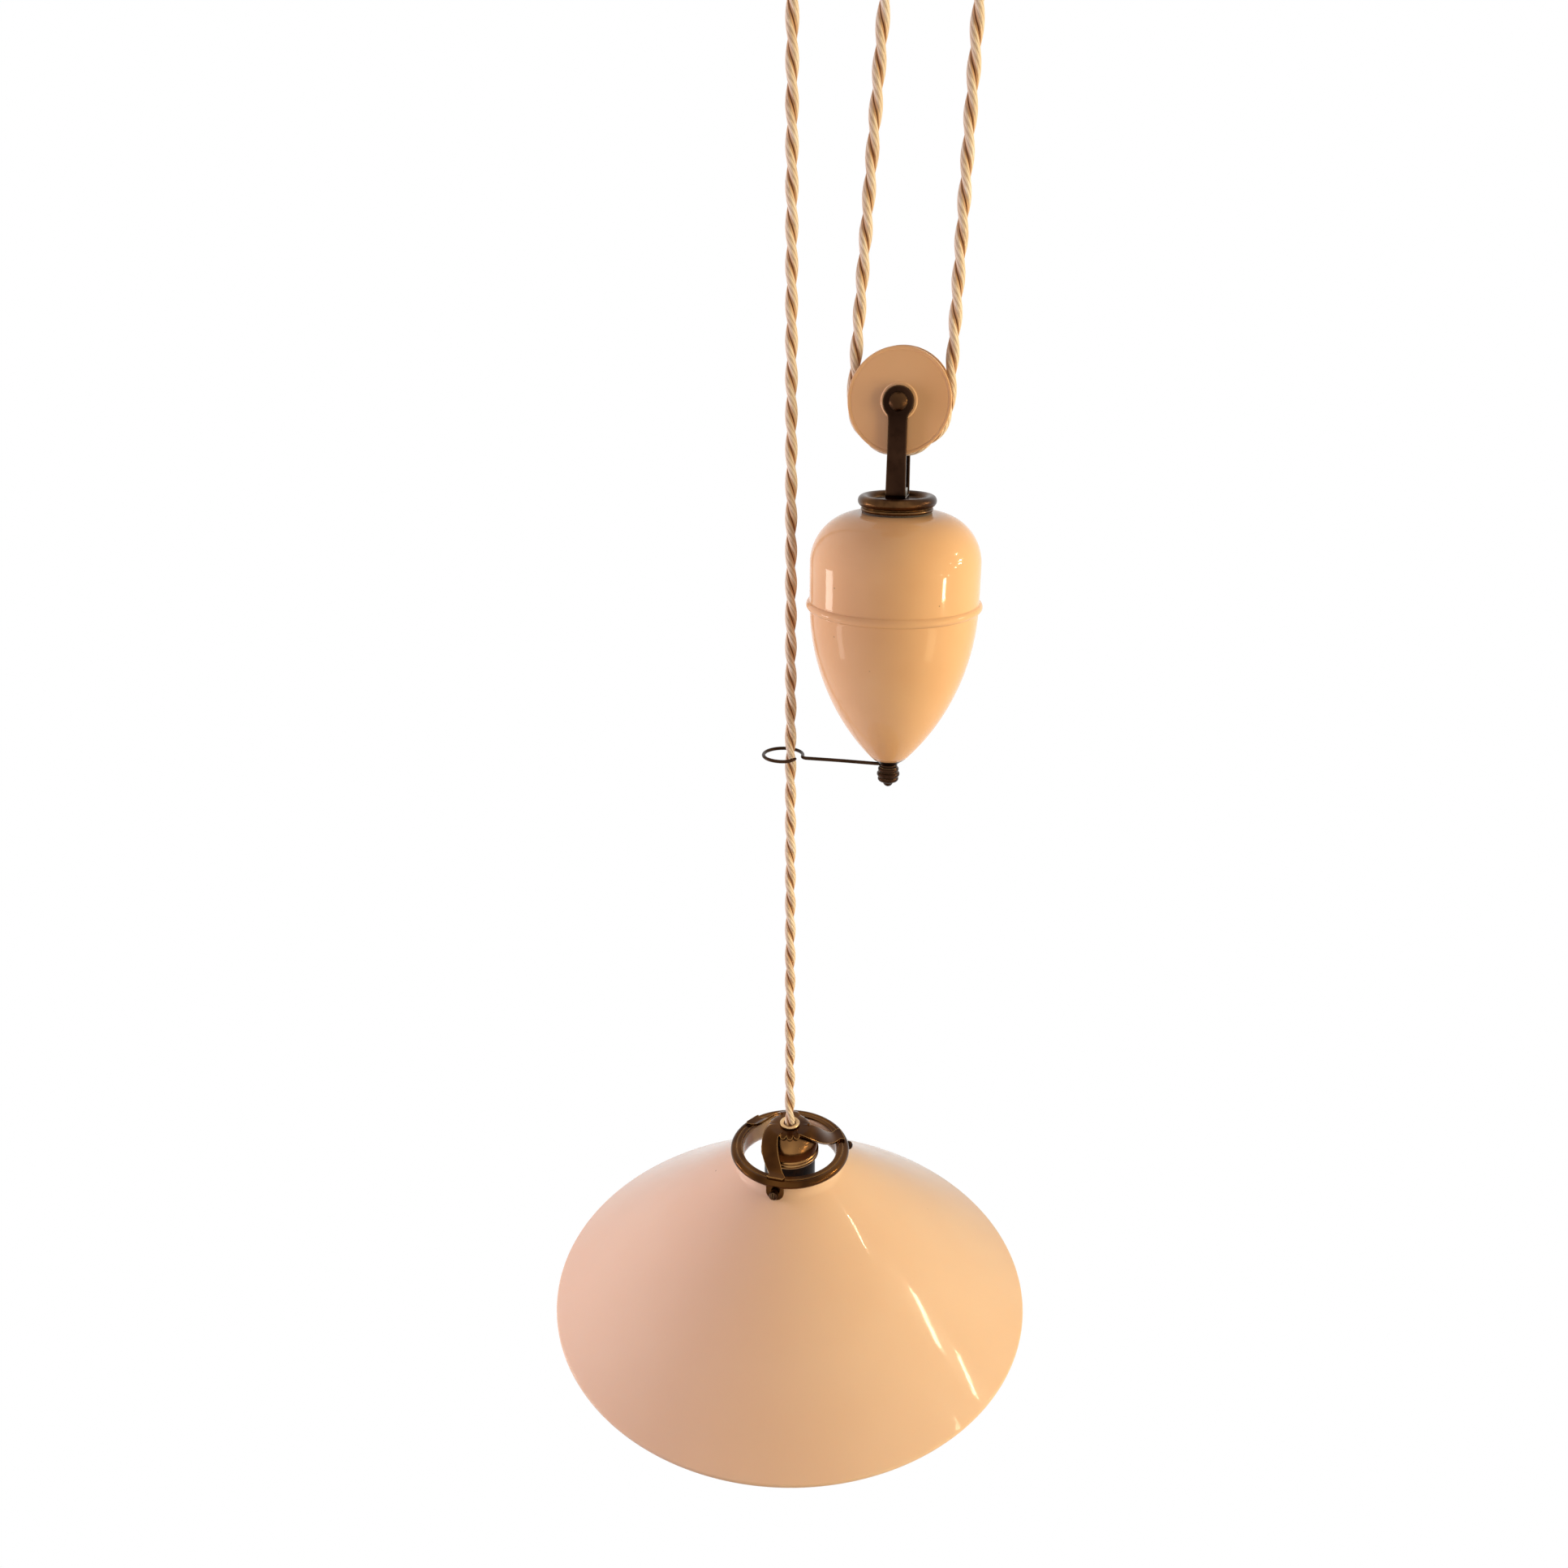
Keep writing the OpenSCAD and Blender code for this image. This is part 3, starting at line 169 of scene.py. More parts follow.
def piece(name, verts, faces, material, body, slot, replaces=(), uvs=None, even=True):
    """Makes a piece from points in mm, gives it its finish and lets it ride on a body."""
    mesh = bpy.data.meshes.new(name)
    mesh.from_pydata([(x / 1000, y / 1000, z / 1000) for x, y, z in verts], [], faces)
    if uvs:
        layer = mesh.uv_layers.new(name="around")
        for loop, uv in zip(layer.data, uvs):
            loop.uv = uv
    mesh.polygons.foreach_set("use_smooth", [True] * len(mesh.polygons))
    mesh.materials.append(material)
    made = bpy.data.objects.new(name, mesh)
    scene.collection.objects.link(made)
    if even:
        made.modifiers.new("even", "WEIGHTED_NORMAL").keep_sharp = True
    if body:
        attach(made, body)
    if replaces:
        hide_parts(*replaces)
    return made


def skin(rings, n):
    """Faces over a row of rings of n points each, with an end face at either end."""
    faces = [(i * n + k, i * n + (k + 1) % n, (i + 1) * n + (k + 1) % n, (i + 1) * n + k)
             for i in range(rings - 1) for k in range(n)]
    last = (rings - 1) * n
    return faces + [tuple(range(n - 1, -1, -1)), tuple(range(last, last + n))]


def bar(path, radius, sides, towards):
    """Points, faces and UVs of a round bar along a path; towards gives each ring's zero angle."""
    verts, uvs, run, last = [], [], 0.0, len(path) - 1
    for i, point in enumerate(path):
        ahead = (path[min(i + 1, last)] - path[max(i - 1, 0)]).normalized()
        first = (towards[i] - ahead * towards[i].dot(ahead)).normalized()
        second = ahead.cross(first)
        r = radius[i] if isinstance(radius, list) else radius
        for k in range(sides):
            a = math.tau * k / sides
            verts.append(point + r * (math.cos(a) * first + math.sin(a) * second))
    for i in range(last):
        step = (path[i + 1] - path[i]).length
        for k in range(sides):
            u0, u1 = k / sides, (k + 1) / sides
            uvs += [(u0, run), (u1, run), (u1, run + step), (u0, run + step)]
        run += step
    uvs += [(0, 0)] * sides + [(0, run)] * sides
    return verts, skin(len(path), sides), uvs


def joined(parts):
    """Several parts as one set of points, faces and UVs."""
    verts, faces, uvs = [], [], []
    for v, f, u in parts:
        faces += [tuple(n + len(verts) for n in face) for face in f]
        verts += v
        uvs += u
    return verts, faces, uvs


def bend(x, z, radius, start, end, count):
    """Points on an arc in the plane of the cords, angles in degrees from +X towards +Z."""
    angles = [math.radians(start + (end - start) * i / count) for i in range(count + 1)]
    return [Vector((x + radius * math.cos(a), 0, z + radius * math.sin(a))) for a in angles]


def evenly(points, step):
    """The same route with its points a given step apart."""
    out, left = [points[0].copy()], step
    for a, b in zip(points, points[1:]):
        length, done = (b - a).length, 0.0
        while length - done >= left:
            done += left
            out.append(a.lerp(b, done / length))
            left = step
        left -= length - done
    if (points[-1] - out[-1]).length > step / 4:
        out.append(points[-1].copy())
    return out


def twisted_pair(name, route, phase, replaces):
    """Two cores wound round a route in the plane of the cords, from a given phase of their lay."""
    centre = evenly(route, 1.0)
    side, run, cores = Vector((0, 1, 0)), 0.0, ([], [])
    for i, point in enumerate(centre):
        run += (point - centre[max(i - 1, 0)]).length
        ahead = (centre[min(i + 1, len(centre) - 1)] - centre[max(i - 1, 0)]).normalized()
        a = phase - math.tau * run / LAY
        out = math.cos(a) * side + math.sin(a) * ahead.cross(side)
        cores[0].append((point + out * CORE_OFF, -out))
        cores[1].append((point - out * CORE_OFF, out))
    strands = [bar([p for p, _ in core], CORE_R, 14, [d for _, d in core]) for core in cores]
    verts, faces, uvs = joined(strands)
    made = piece(name, verts, faces, silk, None, "ivory_cord", replaces, uvs, even=False)
    return made, phase - math.tau * run / LAY, [tuple(p / 1000) for p in centre]


def ramp(tree, factor, *stops, blend="EASE"):
    """A ramp through stops of (position, colour or grey)."""
    made = node(tree, "ShaderNodeValToRGB", {0: factor})
    made.color_ramp.interpolation = blend
    while len(made.color_ramp.elements) < len(stops):
        made.color_ramp.elements.new(0.5)
    for element, (position, colour) in zip(made.color_ramp.elements, stops):
        element.position = position
        element.color = (colour,) * 3 + (1,) if isinstance(colour, (int, float)) else (*colour, 1)
    return made.outputs[0]


def mixed(tree, factor, a, b, kind="MIX"):
    """Two colours mixed, or by their kind multiplied."""
    rgba = [(*c, 1) if isinstance(c, tuple) else c for c in (a, b)]
    return node(tree, "ShaderNodeMix", {0: factor, 6: rgba[0], 7: rgba[1]}, data_type="RGBA",
                blend_type=kind).outputs[2]


def place(tree):
    """Where on its piece a point lies, for patterns that stay on the piece."""
    return node(tree, "ShaderNodeTexCoord").outputs["Object"]


def noise(tree, where, scale, detail=4.0, rough=0.55, warp=0.0):
    """An uneven cloud from 0 to 1, with more grains to the metre at a larger scale."""
    return node(tree, "ShaderNodeTexNoise", {"Vector": where, "Scale": scale, "Detail": detail,
                                             "Roughness": rough, "Distortion": warp}).outputs["Fac"]


def shaded(tree, values, height=None, strength=0.2, depth=0.0005):
    """The surface from its principled values, with a bump where a height is given."""
    shader = node(tree, "ShaderNodeBsdfPrincipled", values)
    if height is not None:
        bump = node(tree, "ShaderNodeBump", {"Strength": strength, "Distance": depth, "Height": height})
        tree.links.new(bump.outputs[0], shader.inputs["Normal"])
    node(tree, "ShaderNodeOutputMaterial", {"Surface": shader.outputs[0]})


silk, tree = new_material("twisted_silk")
spot = node(tree, "ShaderNodeSeparateXYZ", {0: node(tree, "ShaderNodeUVMap", uv_map="around").outputs[0]})
around, along = spot.outputs[0], spot.outputs[1]
inner = maths(tree, "ABSOLUTE", maths(tree, "SUBTRACT", around, 0.5))
braid = maths(tree, "SINE", maths(tree, "ADD", maths(tree, "MULTIPLY", around, 7 * math.tau),
                                  maths(tree, "MULTIPLY", along, 0.16)))
thread = maths(tree, "SINE", maths(tree, "ADD", maths(tree, "MULTIPLY", around, 22 * math.tau),
                                   maths(tree, "MULTIPLY", along, 2.4)))
blot = noise(tree, place(tree), 90, 5, 0.6)
tone = ramp(tree, blot, (0.3, (0.80, 0.64, 0.47)), (0.5, (0.92, 0.80, 0.62)), (0.7, (0.98, 0.91, 0.78)))
lines = ramp(tree, maths(tree, "MULTIPLY_ADD", braid, 0.5, 0.5), (0.0, (0.42, 0.27, 0.18)),
             (0.2, (0.84, 0.72, 0.62)), (0.45, (1, 1, 1)))
tone = mixed(tree, 0.5, tone, lines, "MULTIPLY")
# Painted shade: each core is darkened where it faces the other core, in the groove where the two meet
painted_groove_shade = ramp(tree, inner, (0.20, (1, 1, 1)), (0.28, (0.76, 0.54, 0.37)), (0.335, (0.20, 0.09, 0.045)))
tone = mixed(tree, 1.0, tone, painted_groove_shade, "MULTIPLY")
relief = maths(tree, "MULTIPLY_ADD", thread, 0.4, braid)
shaded(tree, {"Base Color": tone, "Roughness": 0.55, "Sheen Weight": 0.15, "Sheen Roughness": 0.4,
              "Specular IOR Level": 0.2}, relief, 0.5, 0.0003)

span = math.hypot(WEIGHT[0] - BLOCK[0], BLOCK[1] - WEIGHT[1])
lean_left = math.degrees(math.asin((BLOCK[2] + WEIGHT[2]) / span)
                         - math.atan((WEIGHT[0] - BLOCK[0]) / (BLOCK[1] - WEIGHT[1])))
rise, reach = GRIP[1] - WEIGHT[1], GRIP[0] - WEIGHT[0]
lean_right = math.degrees(math.acos(WEIGHT[2] / math.hypot(reach, rise)) - math.atan(rise / reach))
up = [Vector((LAMP_X, 0, -667)), Vector((LAMP_X, 0, BLOCK[1]))] + bend(*BLOCK, 178, 90, 30)
down = (bend(*BLOCK, 90, -lean_left, 30) + bend(*WEIGHT, 180 - lean_left, 360 - lean_right, 60)
        + [Vector((GRIP[0], 0, GRIP[1])), Vector((GRIP[0], 0, -10.7))])
lamp_cord, phase, lamp_path = twisted_pair("lamp_cord", up, 0.6, ["lamp_strand"])
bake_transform(lamp_cord)
stretches = ["ceiling_bend", "left_strand", "weight_bend", "right_strand"]
weight_cord, phase, weight_path = twisted_pair("weight_cord", down, phase, stretches)
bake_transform(weight_cord)


def bared_cores(name, routes, body, replaces):
    """The cores where they leave the cord's lay and turn off to their terminals."""
    paths = [evenly([Vector(p) for p in route], 0.5) for route in routes]
    parts = [bar(path, BARE_R, 12, [Vector((0.1, 0.97, 0.2))] * len(path)) for path in paths]
    return piece(name, *joined(parts)[:2], silk, body, "ivory_cord", replaces, joined(parts)[2], even=False)


SIDES = (-1, 1)                     # one core goes to either side
to_block = [[(GRIP[0], s * 1.2, -11.5), (GRIP[0], s * 2.4, -9.6), (GRIP[0] - 1.5, s * 4.0, -8.6),
             (GRIP[0] - 4, s * 4.5, -8.5), (19.6, s * 4.5, -8.5)] for s in SIDES]
bared_cores("rose_cores", to_block, "rose", ["anchor_tail"])
to_holder = [[(LAMP_X + s * 1.1, 0, -666.6), (LAMP_X + s * 2.1, 0, -667.0), (LAMP_X + s * 3.2, 0, -667.8),
              (LAMP_X + s * 3.5, 0, -669.0), (LAMP_X + s * 3.5, 0, -669.9)] for s in SIDES]
bared_cores("lamp_cores", to_holder, "lamp", ["lamp_tail"])


# ---- Rose ---------------------------------------------------------------------------------
# What hangs the lamp from the ceiling: a galvanised strip that two screws hold, and under it a
# pressed brass canopy with a rolled rim, drawn up by the bolt of the pulley's yoke.
def spangled(name):
    """Galvanised steel: grey crystals of zinc, dulled, with a few darker spots."""
    material, tree = new_material(name)
    where = place(tree)
    crystals = node(tree, "ShaderNodeTexVoronoi", {"Vector": where, "Scale": 420.0})
    grey = ramp(tree, crystals.outputs["Color"], (0.1, (0.30, 0.31, 0.32)), (0.9, (0.56, 0.57, 0.58)))
    soil = ramp(tree, noise(tree, where, 160, 6, 0.65), (0.35, (0.45, 0.41, 0.37)), (0.62, (1, 1, 1)))
    rough = ramp(tree, noise(tree, where, 300, 3), (0.3, 0.30), (0.8, 0.52))
    colour = mixed(tree, 0.8, grey, soil, "MULTIPLY")
    shaded(tree, {"Base Color": colour, "Metallic": 1.0, "Roughness": rough}, noise(tree, where, 900, 3),
           0.15, 0.0002)
    return material


def aged_brass(name, dark, warm, bright, wear=0.5, rough=(0.26, 0.46), mottle=0.6):
    """Brass under a patina that thins on its edges and where hands and cloths have rubbed it."""
    material, tree = new_material(name)
    where = place(tree)
    cloud = noise(tree, where, 48, 1.5 + 6 * mottle, 0.35 + 0.35 * mottle, mottle)
    fine = noise(tree, where, 520, 5, 0.65)
    colour = ramp(tree, cloud, (0.32, dark), (0.66, warm))
    round_edge = node(tree, "ShaderNodeBevel", {"Radius": 0.0009}, samples=4)
    facing = node(tree, "ShaderNodeVectorMath", {0: round_edge.outputs[0],
                                                 1: node(tree, "ShaderNodeNewGeometry").outputs["Normal"]},
                  operation="DOT_PRODUCT")
    edge = maths(tree, "MULTIPLY", maths(tree, "SUBTRACT", 1.0, facing.outputs["Value"]), 9.0)
    rubbed = maths(tree, "ADD", edge, ramp(tree, cloud, (0.55, 0.0), (0.8, mottle / 2)))
    rubbed = maths(tree, "MULTIPLY", rubbed, ramp(tree, fine, (0.35, 1 - mottle), (0.65, 1.0)))
    rubbed = node(tree, "ShaderNodeClamp", {0: maths(tree, "MULTIPLY", rubbed, wear)}).outputs[0]
    spots = ramp(tree, noise(tree, where, 210, 8, 0.7), (0.38, 0.35), (0.5, 1.0))
    colour = mixed(tree, mottle, mixed(tree, rubbed, colour, bright), spots, "MULTIPLY")
    gloss = maths(tree, "MULTIPLY_ADD", fine, rough[1] - rough[0], rough[0])
    relief = maths(tree, "ADD", fine, cloud)
    shaded(tree, {"Base Color": colour, "Metallic": 1.0, "Roughness": gloss}, relief, 0.03 + 0.12 * mottle,
           0.0003)
    return material


def soften(outline, radius):
    """A closed outline with its corners rounded; a point's own third value is its own radius."""
    out, count, step = [], len(outline), 15             # a side of a rounding for each 15 degrees
    for i, point in enumerate(outline):
        here = Vector(point[:2])
        before, after = Vector(outline[i - 1][:2]) - here, Vector(outline[(i + 1) % count][:2]) - here
        r = point[2] if len(point) > 2 else radius
        turn = math.pi - before.angle(after, math.pi)
        if r <= 0 or turn < math.radians(step):
            out.append(tuple(here))
            continue
        cut = min(r * math.tan(turn / 2), 0.49 * before.length, 0.49 * after.length)
        start, end = here + before.normalized() * cut, here + after.normalized() * cut
        pieces = max(2, round(math.degrees(turn) / step))
        for k in range(pieces + 1):
            t = k / pieces
            out.append(tuple((1 - t) ** 2 * start + 2 * t * (1 - t) * here + t * t * end))
    return out


def arc(r, z, radius, start, end, step=9):
    """Points of an outline on an arc, marked as not to be rounded."""
    count = max(2, round(abs(end - start) / step))
    angles = [math.radians(start + (end - start) * k / count) for k in range(count + 1)]
    return [(r + radius * math.cos(a), z + radius * math.sin(a), 0) for a in angles]


def turned(name, outline, material, body, slot, replaces, x=0.0, z=0.0, axle=False, turns=128, radius=0.3):
    """A piece turned from its closed half outline of (radius, height), round Z or, as an axle, round Y."""
    points = soften(outline, radius)
    verts, faces = [], []
    for k in range(turns):
        c, s = math.cos(math.tau * k / turns), math.sin(math.tau * k / turns)
        verts += [(x + r * c, h, z + r * s) if axle else (x + r * c, r * s, z + h) for r, h in points]
    n = len(points)
    for k in range(turns):
        for i in range(n):
            j, k2 = (i + 1) % n, (k + 1) % turns
            if points[i][0] > 1e-6 or points[j][0] > 1e-6:
                faces.append((k * n + i, k2 * n + i, k2 * n + j, k * n + j))
    made = piece(name, verts, faces, material, body, slot, replaces)
    mend = bmesh.new()
    mend.from_mesh(made.data)
    bmesh.ops.remove_doubles(mend, verts=mend.verts, dist=1e-7)
    bmesh.ops.dissolve_degenerate(mend, edges=mend.edges, dist=1e-8)
    bmesh.ops.recalc_face_normals(mend, faces=mend.faces)
    mend.to_mesh(made.data)
    mend.free()
    return made


def dress(material, *names):
    """Gives CAD nodes that stay as they are their finish."""
    for name in names:
        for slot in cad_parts[name].material_slots:
            slot.material = material


zinc = spangled("galvanised_strip")
dark_brass = aged_brass("dark_brass", (0.042, 0.018, 0.008), (0.12, 0.055, 0.020), (0.60, 0.34, 0.13), 0.45,
                        (0.2, 0.4), 0.35)
dress(zinc, "ceiling_bracket", "block_bolt", "block_nuts", "terminal_fixing")

CANOPY_R, CANOPY_FOOT, CORNER, SHEET = 56.6, -27, 8, 1.2
canopy = ([(CANOPY_R - 2, 0, 0.2), (CANOPY_R, -0.1, 0)] + arc(CANOPY_R, -1.4, 1.4, 80, -110)
          + [(CANOPY_R, -3.6), (CANOPY_R, CANOPY_FOOT + CORNER, 0)]
          + arc(CANOPY_R - CORNER, CANOPY_FOOT + CORNER, CORNER, 0, -90)
          + [(0, CANOPY_FOOT, 0), (0, CANOPY_FOOT + SHEET, 0)]
          + arc(CANOPY_R - CORNER, CANOPY_FOOT + CORNER, CORNER - SHEET, -90, 0)
          + [(CANOPY_R - SHEET, -1.0)])
turned("canopy", canopy, dark_brass, "rose", "antique_brass", ["canopy"])


# ---- Cord grip and terminals --------------------------------------------------------------
# The far end of the cord stands in a turned brass collar with a threaded tube and a nut above
# the canopy; its two cores are clamped in a white porcelain block screwed to the strip.
bright_brass = aged_brass("bright_brass", (0.28, 0.16, 0.06), (0.58, 0.36, 0.14), (0.88, 0.64, 0.32), 0.7,
                          (0.16, 0.34))
GRIP_BORE, GRIP_TOP = 3.3, -19.8
grip = [(GRIP_BORE, GRIP[1]), (4.4, GRIP[1], 0.5), (5.0, -39, 0.6), (5.0, -35.6, 0.8), (5.9, -34.4, 0.5),
        (5.9, -33.6, 0.3), (7.0, -30.4, 1.2), (7.0, -29.1, 0.4), (6.6, -28.8, 0.1), (7.0, -28.5, 0.4),
        (7.0, CANOPY_FOOT), (5.0, CANOPY_FOOT, 0), (5.0, GRIP_TOP, 0.4), (GRIP_BORE, GRIP_TOP)]
turned("cord_grip", grip, bright_brass, "rose", "polished_brass", ["cord_grip"], x=GRIP[0])
dress(bright_brass, "grip_nut", "terminal_screws")


def specked(tree, where, body, scale, colour, seldom, size):
    """The body with small dark specks in a few of its cells; size is where a speck fades in its cell."""
    dot = node(tree, "ShaderNodeTexVoronoi", {"Vector": where, "Scale": scale, "Randomness": 1.0})
    rare = ramp(tree, node(tree, "ShaderNodeSeparateColor", {0: dot.outputs["Color"]}).outputs[0],
                (0.93, 0.0), seldom, blend="LINEAR")
    speck = ramp(tree, dot.outputs["Distance"], (size[0], 1.0), (size[1], 0.0))
    return mixed(tree, maths(tree, "MULTIPLY", speck, rare), body, colour)


def glazed(name, pale, warm, specks=0.5, soft=0.12, coat=0.32):
    """Glazed ware: a creamy body under a clear gloss, with fine iron specks and a faint pooling."""
    material, tree = new_material(name)
    where = place(tree)
    body = ramp(tree, noise(tree, where, 14, 3, 0.5), (0.3, warm), (0.7, pale))
    body = specked(tree, where, body, 165.0, (0.23, 0.14, 0.09), (0.97, specks), (0.035, 0.085))
    waves = noise(tree, where, 26, 2, 0.4)
    pits = noise(tree, where, 700, 2, 0.5)
    gloss = ramp(tree, noise(tree, where, 40, 4, 0.6), (0.3, 0.13), (0.75, 0.22))
    shaded(tree, {"Base Color": body, "Roughness": gloss, "Specular IOR Level": 0.05, "Coat Weight": coat,
                  "Coat Roughness": 0.035, "Subsurface Weight": soft, "Subsurface Radius": (0.9, 0.6, 0.4),
                  "Subsurface Scale": 0.004}, maths(tree, "MULTIPLY_ADD", pits, 0.05, waves), 0.10, 0.0012)
    return material


white_ware = glazed("white_ware", (0.86, 0.84, 0.80), (0.80, 0.77, 0.71), 0.3, 0.1, 0.4)
dress(white_ware, "terminal_block")


# ---- Pulleys ------------------------------------------------------------------------------
# Two cream porcelain wheels with rounded rims and a raised boss, one under the canopy and one on
# the counterweight. Each turns on a rivet, between two brass washers and the eyes of its yoke.
cream_ware = glazed("cream_ware", (0.83, 0.54, 0.30), (0.77, 0.47, 0.245), 0.6)
RIM, GROOVE = 1.55, 3.3             # the rim beyond the pitch circle, and the radius of the groove
BOSS, HALF_W, FLARE = 6.25, 5.75, 4.15                  # half widths over the boss, the rim and its crest
BORE, BOSS_R = 2.08, 8
RIVET_R, HEAD_R, HEAD_H, HEAD_EDGE, HEAD_AT = 2.0, 4.4, 2.3, 0.3, 9.0


def pulley(name, body, wheel):
    """A wheel with a bore, a boss on either side and a round groove for the cord."""
    x, z, pitch = wheel
    edge = pitch + RIM
    side = [(BORE, BOSS, 0.3), (BOSS_R, BOSS, 0.35), (BOSS_R + 0.45, HALF_W, 0.35),
            (edge - 2.6, HALF_W, 1.2), (edge - 1.5, HALF_W - 0.22, 0.5), (edge - 1.1, HALF_W, 0.4),
            (edge, HALF_W, 0.75), (edge, FLARE, 0.45), (pitch, GROOVE, 0)]
    groove = arc(pitch, 0, GROOVE, 90, 270)[1:-1]
    outline = side + groove + [(r, -w, *rest) for r, w, *rest in reversed(side)]
    return turned(name, outline, cream_ware, body, "cream_porcelain", [name], x, z, axle=True, turns=160)


def rivet(name, body, wheel):
    """A rivet with domed heads, each with the thin flat edge that the setting tool leaves."""
    x, z, _ = wheel
    ball = (HEAD_R ** 2 + HEAD_H ** 2) / (2 * HEAD_H)
    top = math.degrees(math.asin((HEAD_R - 0.1) / ball))
    head = [(r, w) for r, w, _ in arc(0, HEAD_AT + HEAD_EDGE + HEAD_H - ball, ball, 90, 90 - top, 4)]
    half = ([(0, head[0][1], 0)] + [(r, w, 0) for r, w in head[1:]]
            + [(HEAD_R, HEAD_AT, 0.1), (RIVET_R, HEAD_AT, 0)])
    outline = half + [(r, -w, c) for r, w, c in reversed(half)]
    return turned(name, outline, dark_brass, body, "antique_brass", [name], x, z, axle=True, turns=64)


pulley("block_pulley", "block_wheel", BLOCK)
pulley("weight_pulley", "weight_wheel", WEIGHT)
rivet("block_axle", "rose", BLOCK)
rivet("weight_axle", "weight", WEIGHT)
dress(bright_brass, "block_washers", "weight_washers")


# ---- Yokes --------------------------------------------------------------------------------
# Strips of brass bent to a U, with a round eye forged at the end of each leg. The strip is a
# little narrower under the eye than at its foot, and its edges are broken with a file.
black_brass = aged_brass("black_brass", (0.016, 0.007, 0.004), (0.034, 0.015, 0.008), (0.34, 0.19, 0.09),
                         0.3, (0.22, 0.4), 0.3)


def flat_section(wide, thick, side, edge, points):
    """The section of a flat strip, as (across, out), with some points to each of its rounded corners."""
    section = []
    for k in range(4 * points):
        corner, t = divmod(k, points)
        b = math.pi / 2 * (corner + t / (points - 1))
        sx, sy = (1 if corner in (0, 3) else -1), (1 if corner in (0, 1) else -1)
        section.append((sx * (wide - side) + side * math.cos(b), sy * (thick - edge) + edge * math.sin(b)))
    return section


def yoke(name, body, wheel, height, up):
    """A yoke of a given height over its wheel's axle; up is 1 where its legs point up to the wheel."""
    mid, thick, bend_r, eye, narrow, widening = 8.0, 1.0, 2.5, 7.1, 4.3, 0.35   # thick is half of the strip
    leg = height - thick - bend_r
    path = []                                           # across, down from the axle, direction of the face
    for i in range(25):
        path.append((mid, -eye * math.cos(math.pi * i / 48), 0.0))
    for i in range(1, 31):
        path.append((mid, leg * i / 30, 0.0))
    for i in range(1, 9):
        a = math.pi / 2 * i / 8
        path.append((mid - bend_r * (1 - math.cos(a)), leg + bend_r * math.sin(a), a))
    for i in range(1, 11):
        path.append(((mid - bend_r) * (1 - i / 10), height - thick, math.pi / 2))
    path += [(-y, z, math.pi - a) for y, z, a in reversed(path[:-1])]
    verts, points = [], 3                               # three points to each corner of the strip
    for y, z, a in path:
        round_w = math.sqrt(max(0.0, eye ** 2 - z ** 2))
        neck = narrow + widening * min(1, max(0, (z - 20) / (height - 20)))
        share = min(1, max(0, z / 3)) ** 2
        wide = round_w if z <= 0 else max(round_w, neck) * (1 - share) + share * (
            round_w + neck + math.sqrt((round_w - neck) ** 2 + 1.5)) / 2
        wide = max(wide, 0.6)
        for across, out in flat_section(wide, thick, 0.5, 0.4, points):
            verts.append((wheel[0] + across, y + out * math.cos(a),
                          wheel[1] + up * -(z + out * math.sin(a))))
    faces = skin(len(path), 4 * points)
    if up < 0:
        faces = [tuple(reversed(face)) for face in faces]
    return piece(name, verts, faces, black_brass, body, "antique_brass", [name])


yoke("block_yoke", "rose", BLOCK, 31, -1)
yoke("weight_yoke", "weight", WEIGHT, 45, 1)


# ---- Counterweight ------------------------------------------------------------------------
# A hollow porcelain urn with a raised bead, filled with iron. The yoke stands in a dished brass
# cap on a felt ring; a threaded rod runs from its nut through cap and urn down to the finial.
FELT_TOP, URN_TOP, BEAD_Z, URN_FOOT = -299.9, -300.7, -344.7, -423.7    # heights, as all of them in mm
ROD_BORE, COLLAR_IN, COLLAR_OUT, COLLAR_DOWN = 2.65, 10.35, 11.85, 5
collar = [(COLLAR_OUT, FELT_TOP, 0), (COLLAR_OUT, FELT_TOP - COLLAR_DOWN, 0.3),
          (COLLAR_IN, FELT_TOP - COLLAR_DOWN, 0.3), (COLLAR_IN, FELT_TOP, 0)]
cap = ([(ROD_BORE, -295, 0), (13.0, -295.0, 0.5)] + arc(15.9, -295.1, 2.7, 150, -75)
       + [(16.0, -298.0, 0.3), (16.9, -298.3, 0.4), (17.2, -299.0, 0.5), (16.6, FELT_TOP, 0.3)] + collar
       + [(ROD_BORE, FELT_TOP, 0)])
turned("weight_cap", cap, dark_brass, "weight", "antique_brass", ["weight_cap"], x=WEIGHT[0])
dress(zinc, "weight_rod", "rod_nut")

URN_R, URN_MOUTH, SHOULDER, BELLY_FOOT, BELLY_LIFT = 41, 12, 24.0, 8.9, 1.5
WALL, URN_FLOOR, BEAD_OUT, BEAD_HALF, BEAD_ROOT = 5.0, 7, 1.7, 2.15, 3.0
belly_in, belly_h = URN_R - BELLY_FOOT, BEAD_Z - URN_FOOT + BELLY_LIFT
belly = (belly_in ** 2 + belly_h ** 2) / (2 * belly_in)


def bead_out(drop):
    """How far the bead stands out of the belly at a distance from its middle, with a fillet at its root."""
    if drop < BEAD_HALF:
        return BEAD_OUT * math.cos(math.pi / 2 * drop / BEAD_HALF) ** 0.6
    return 0.25 * ((BEAD_ROOT - drop) / (BEAD_ROOT - BEAD_HALF)) ** 2


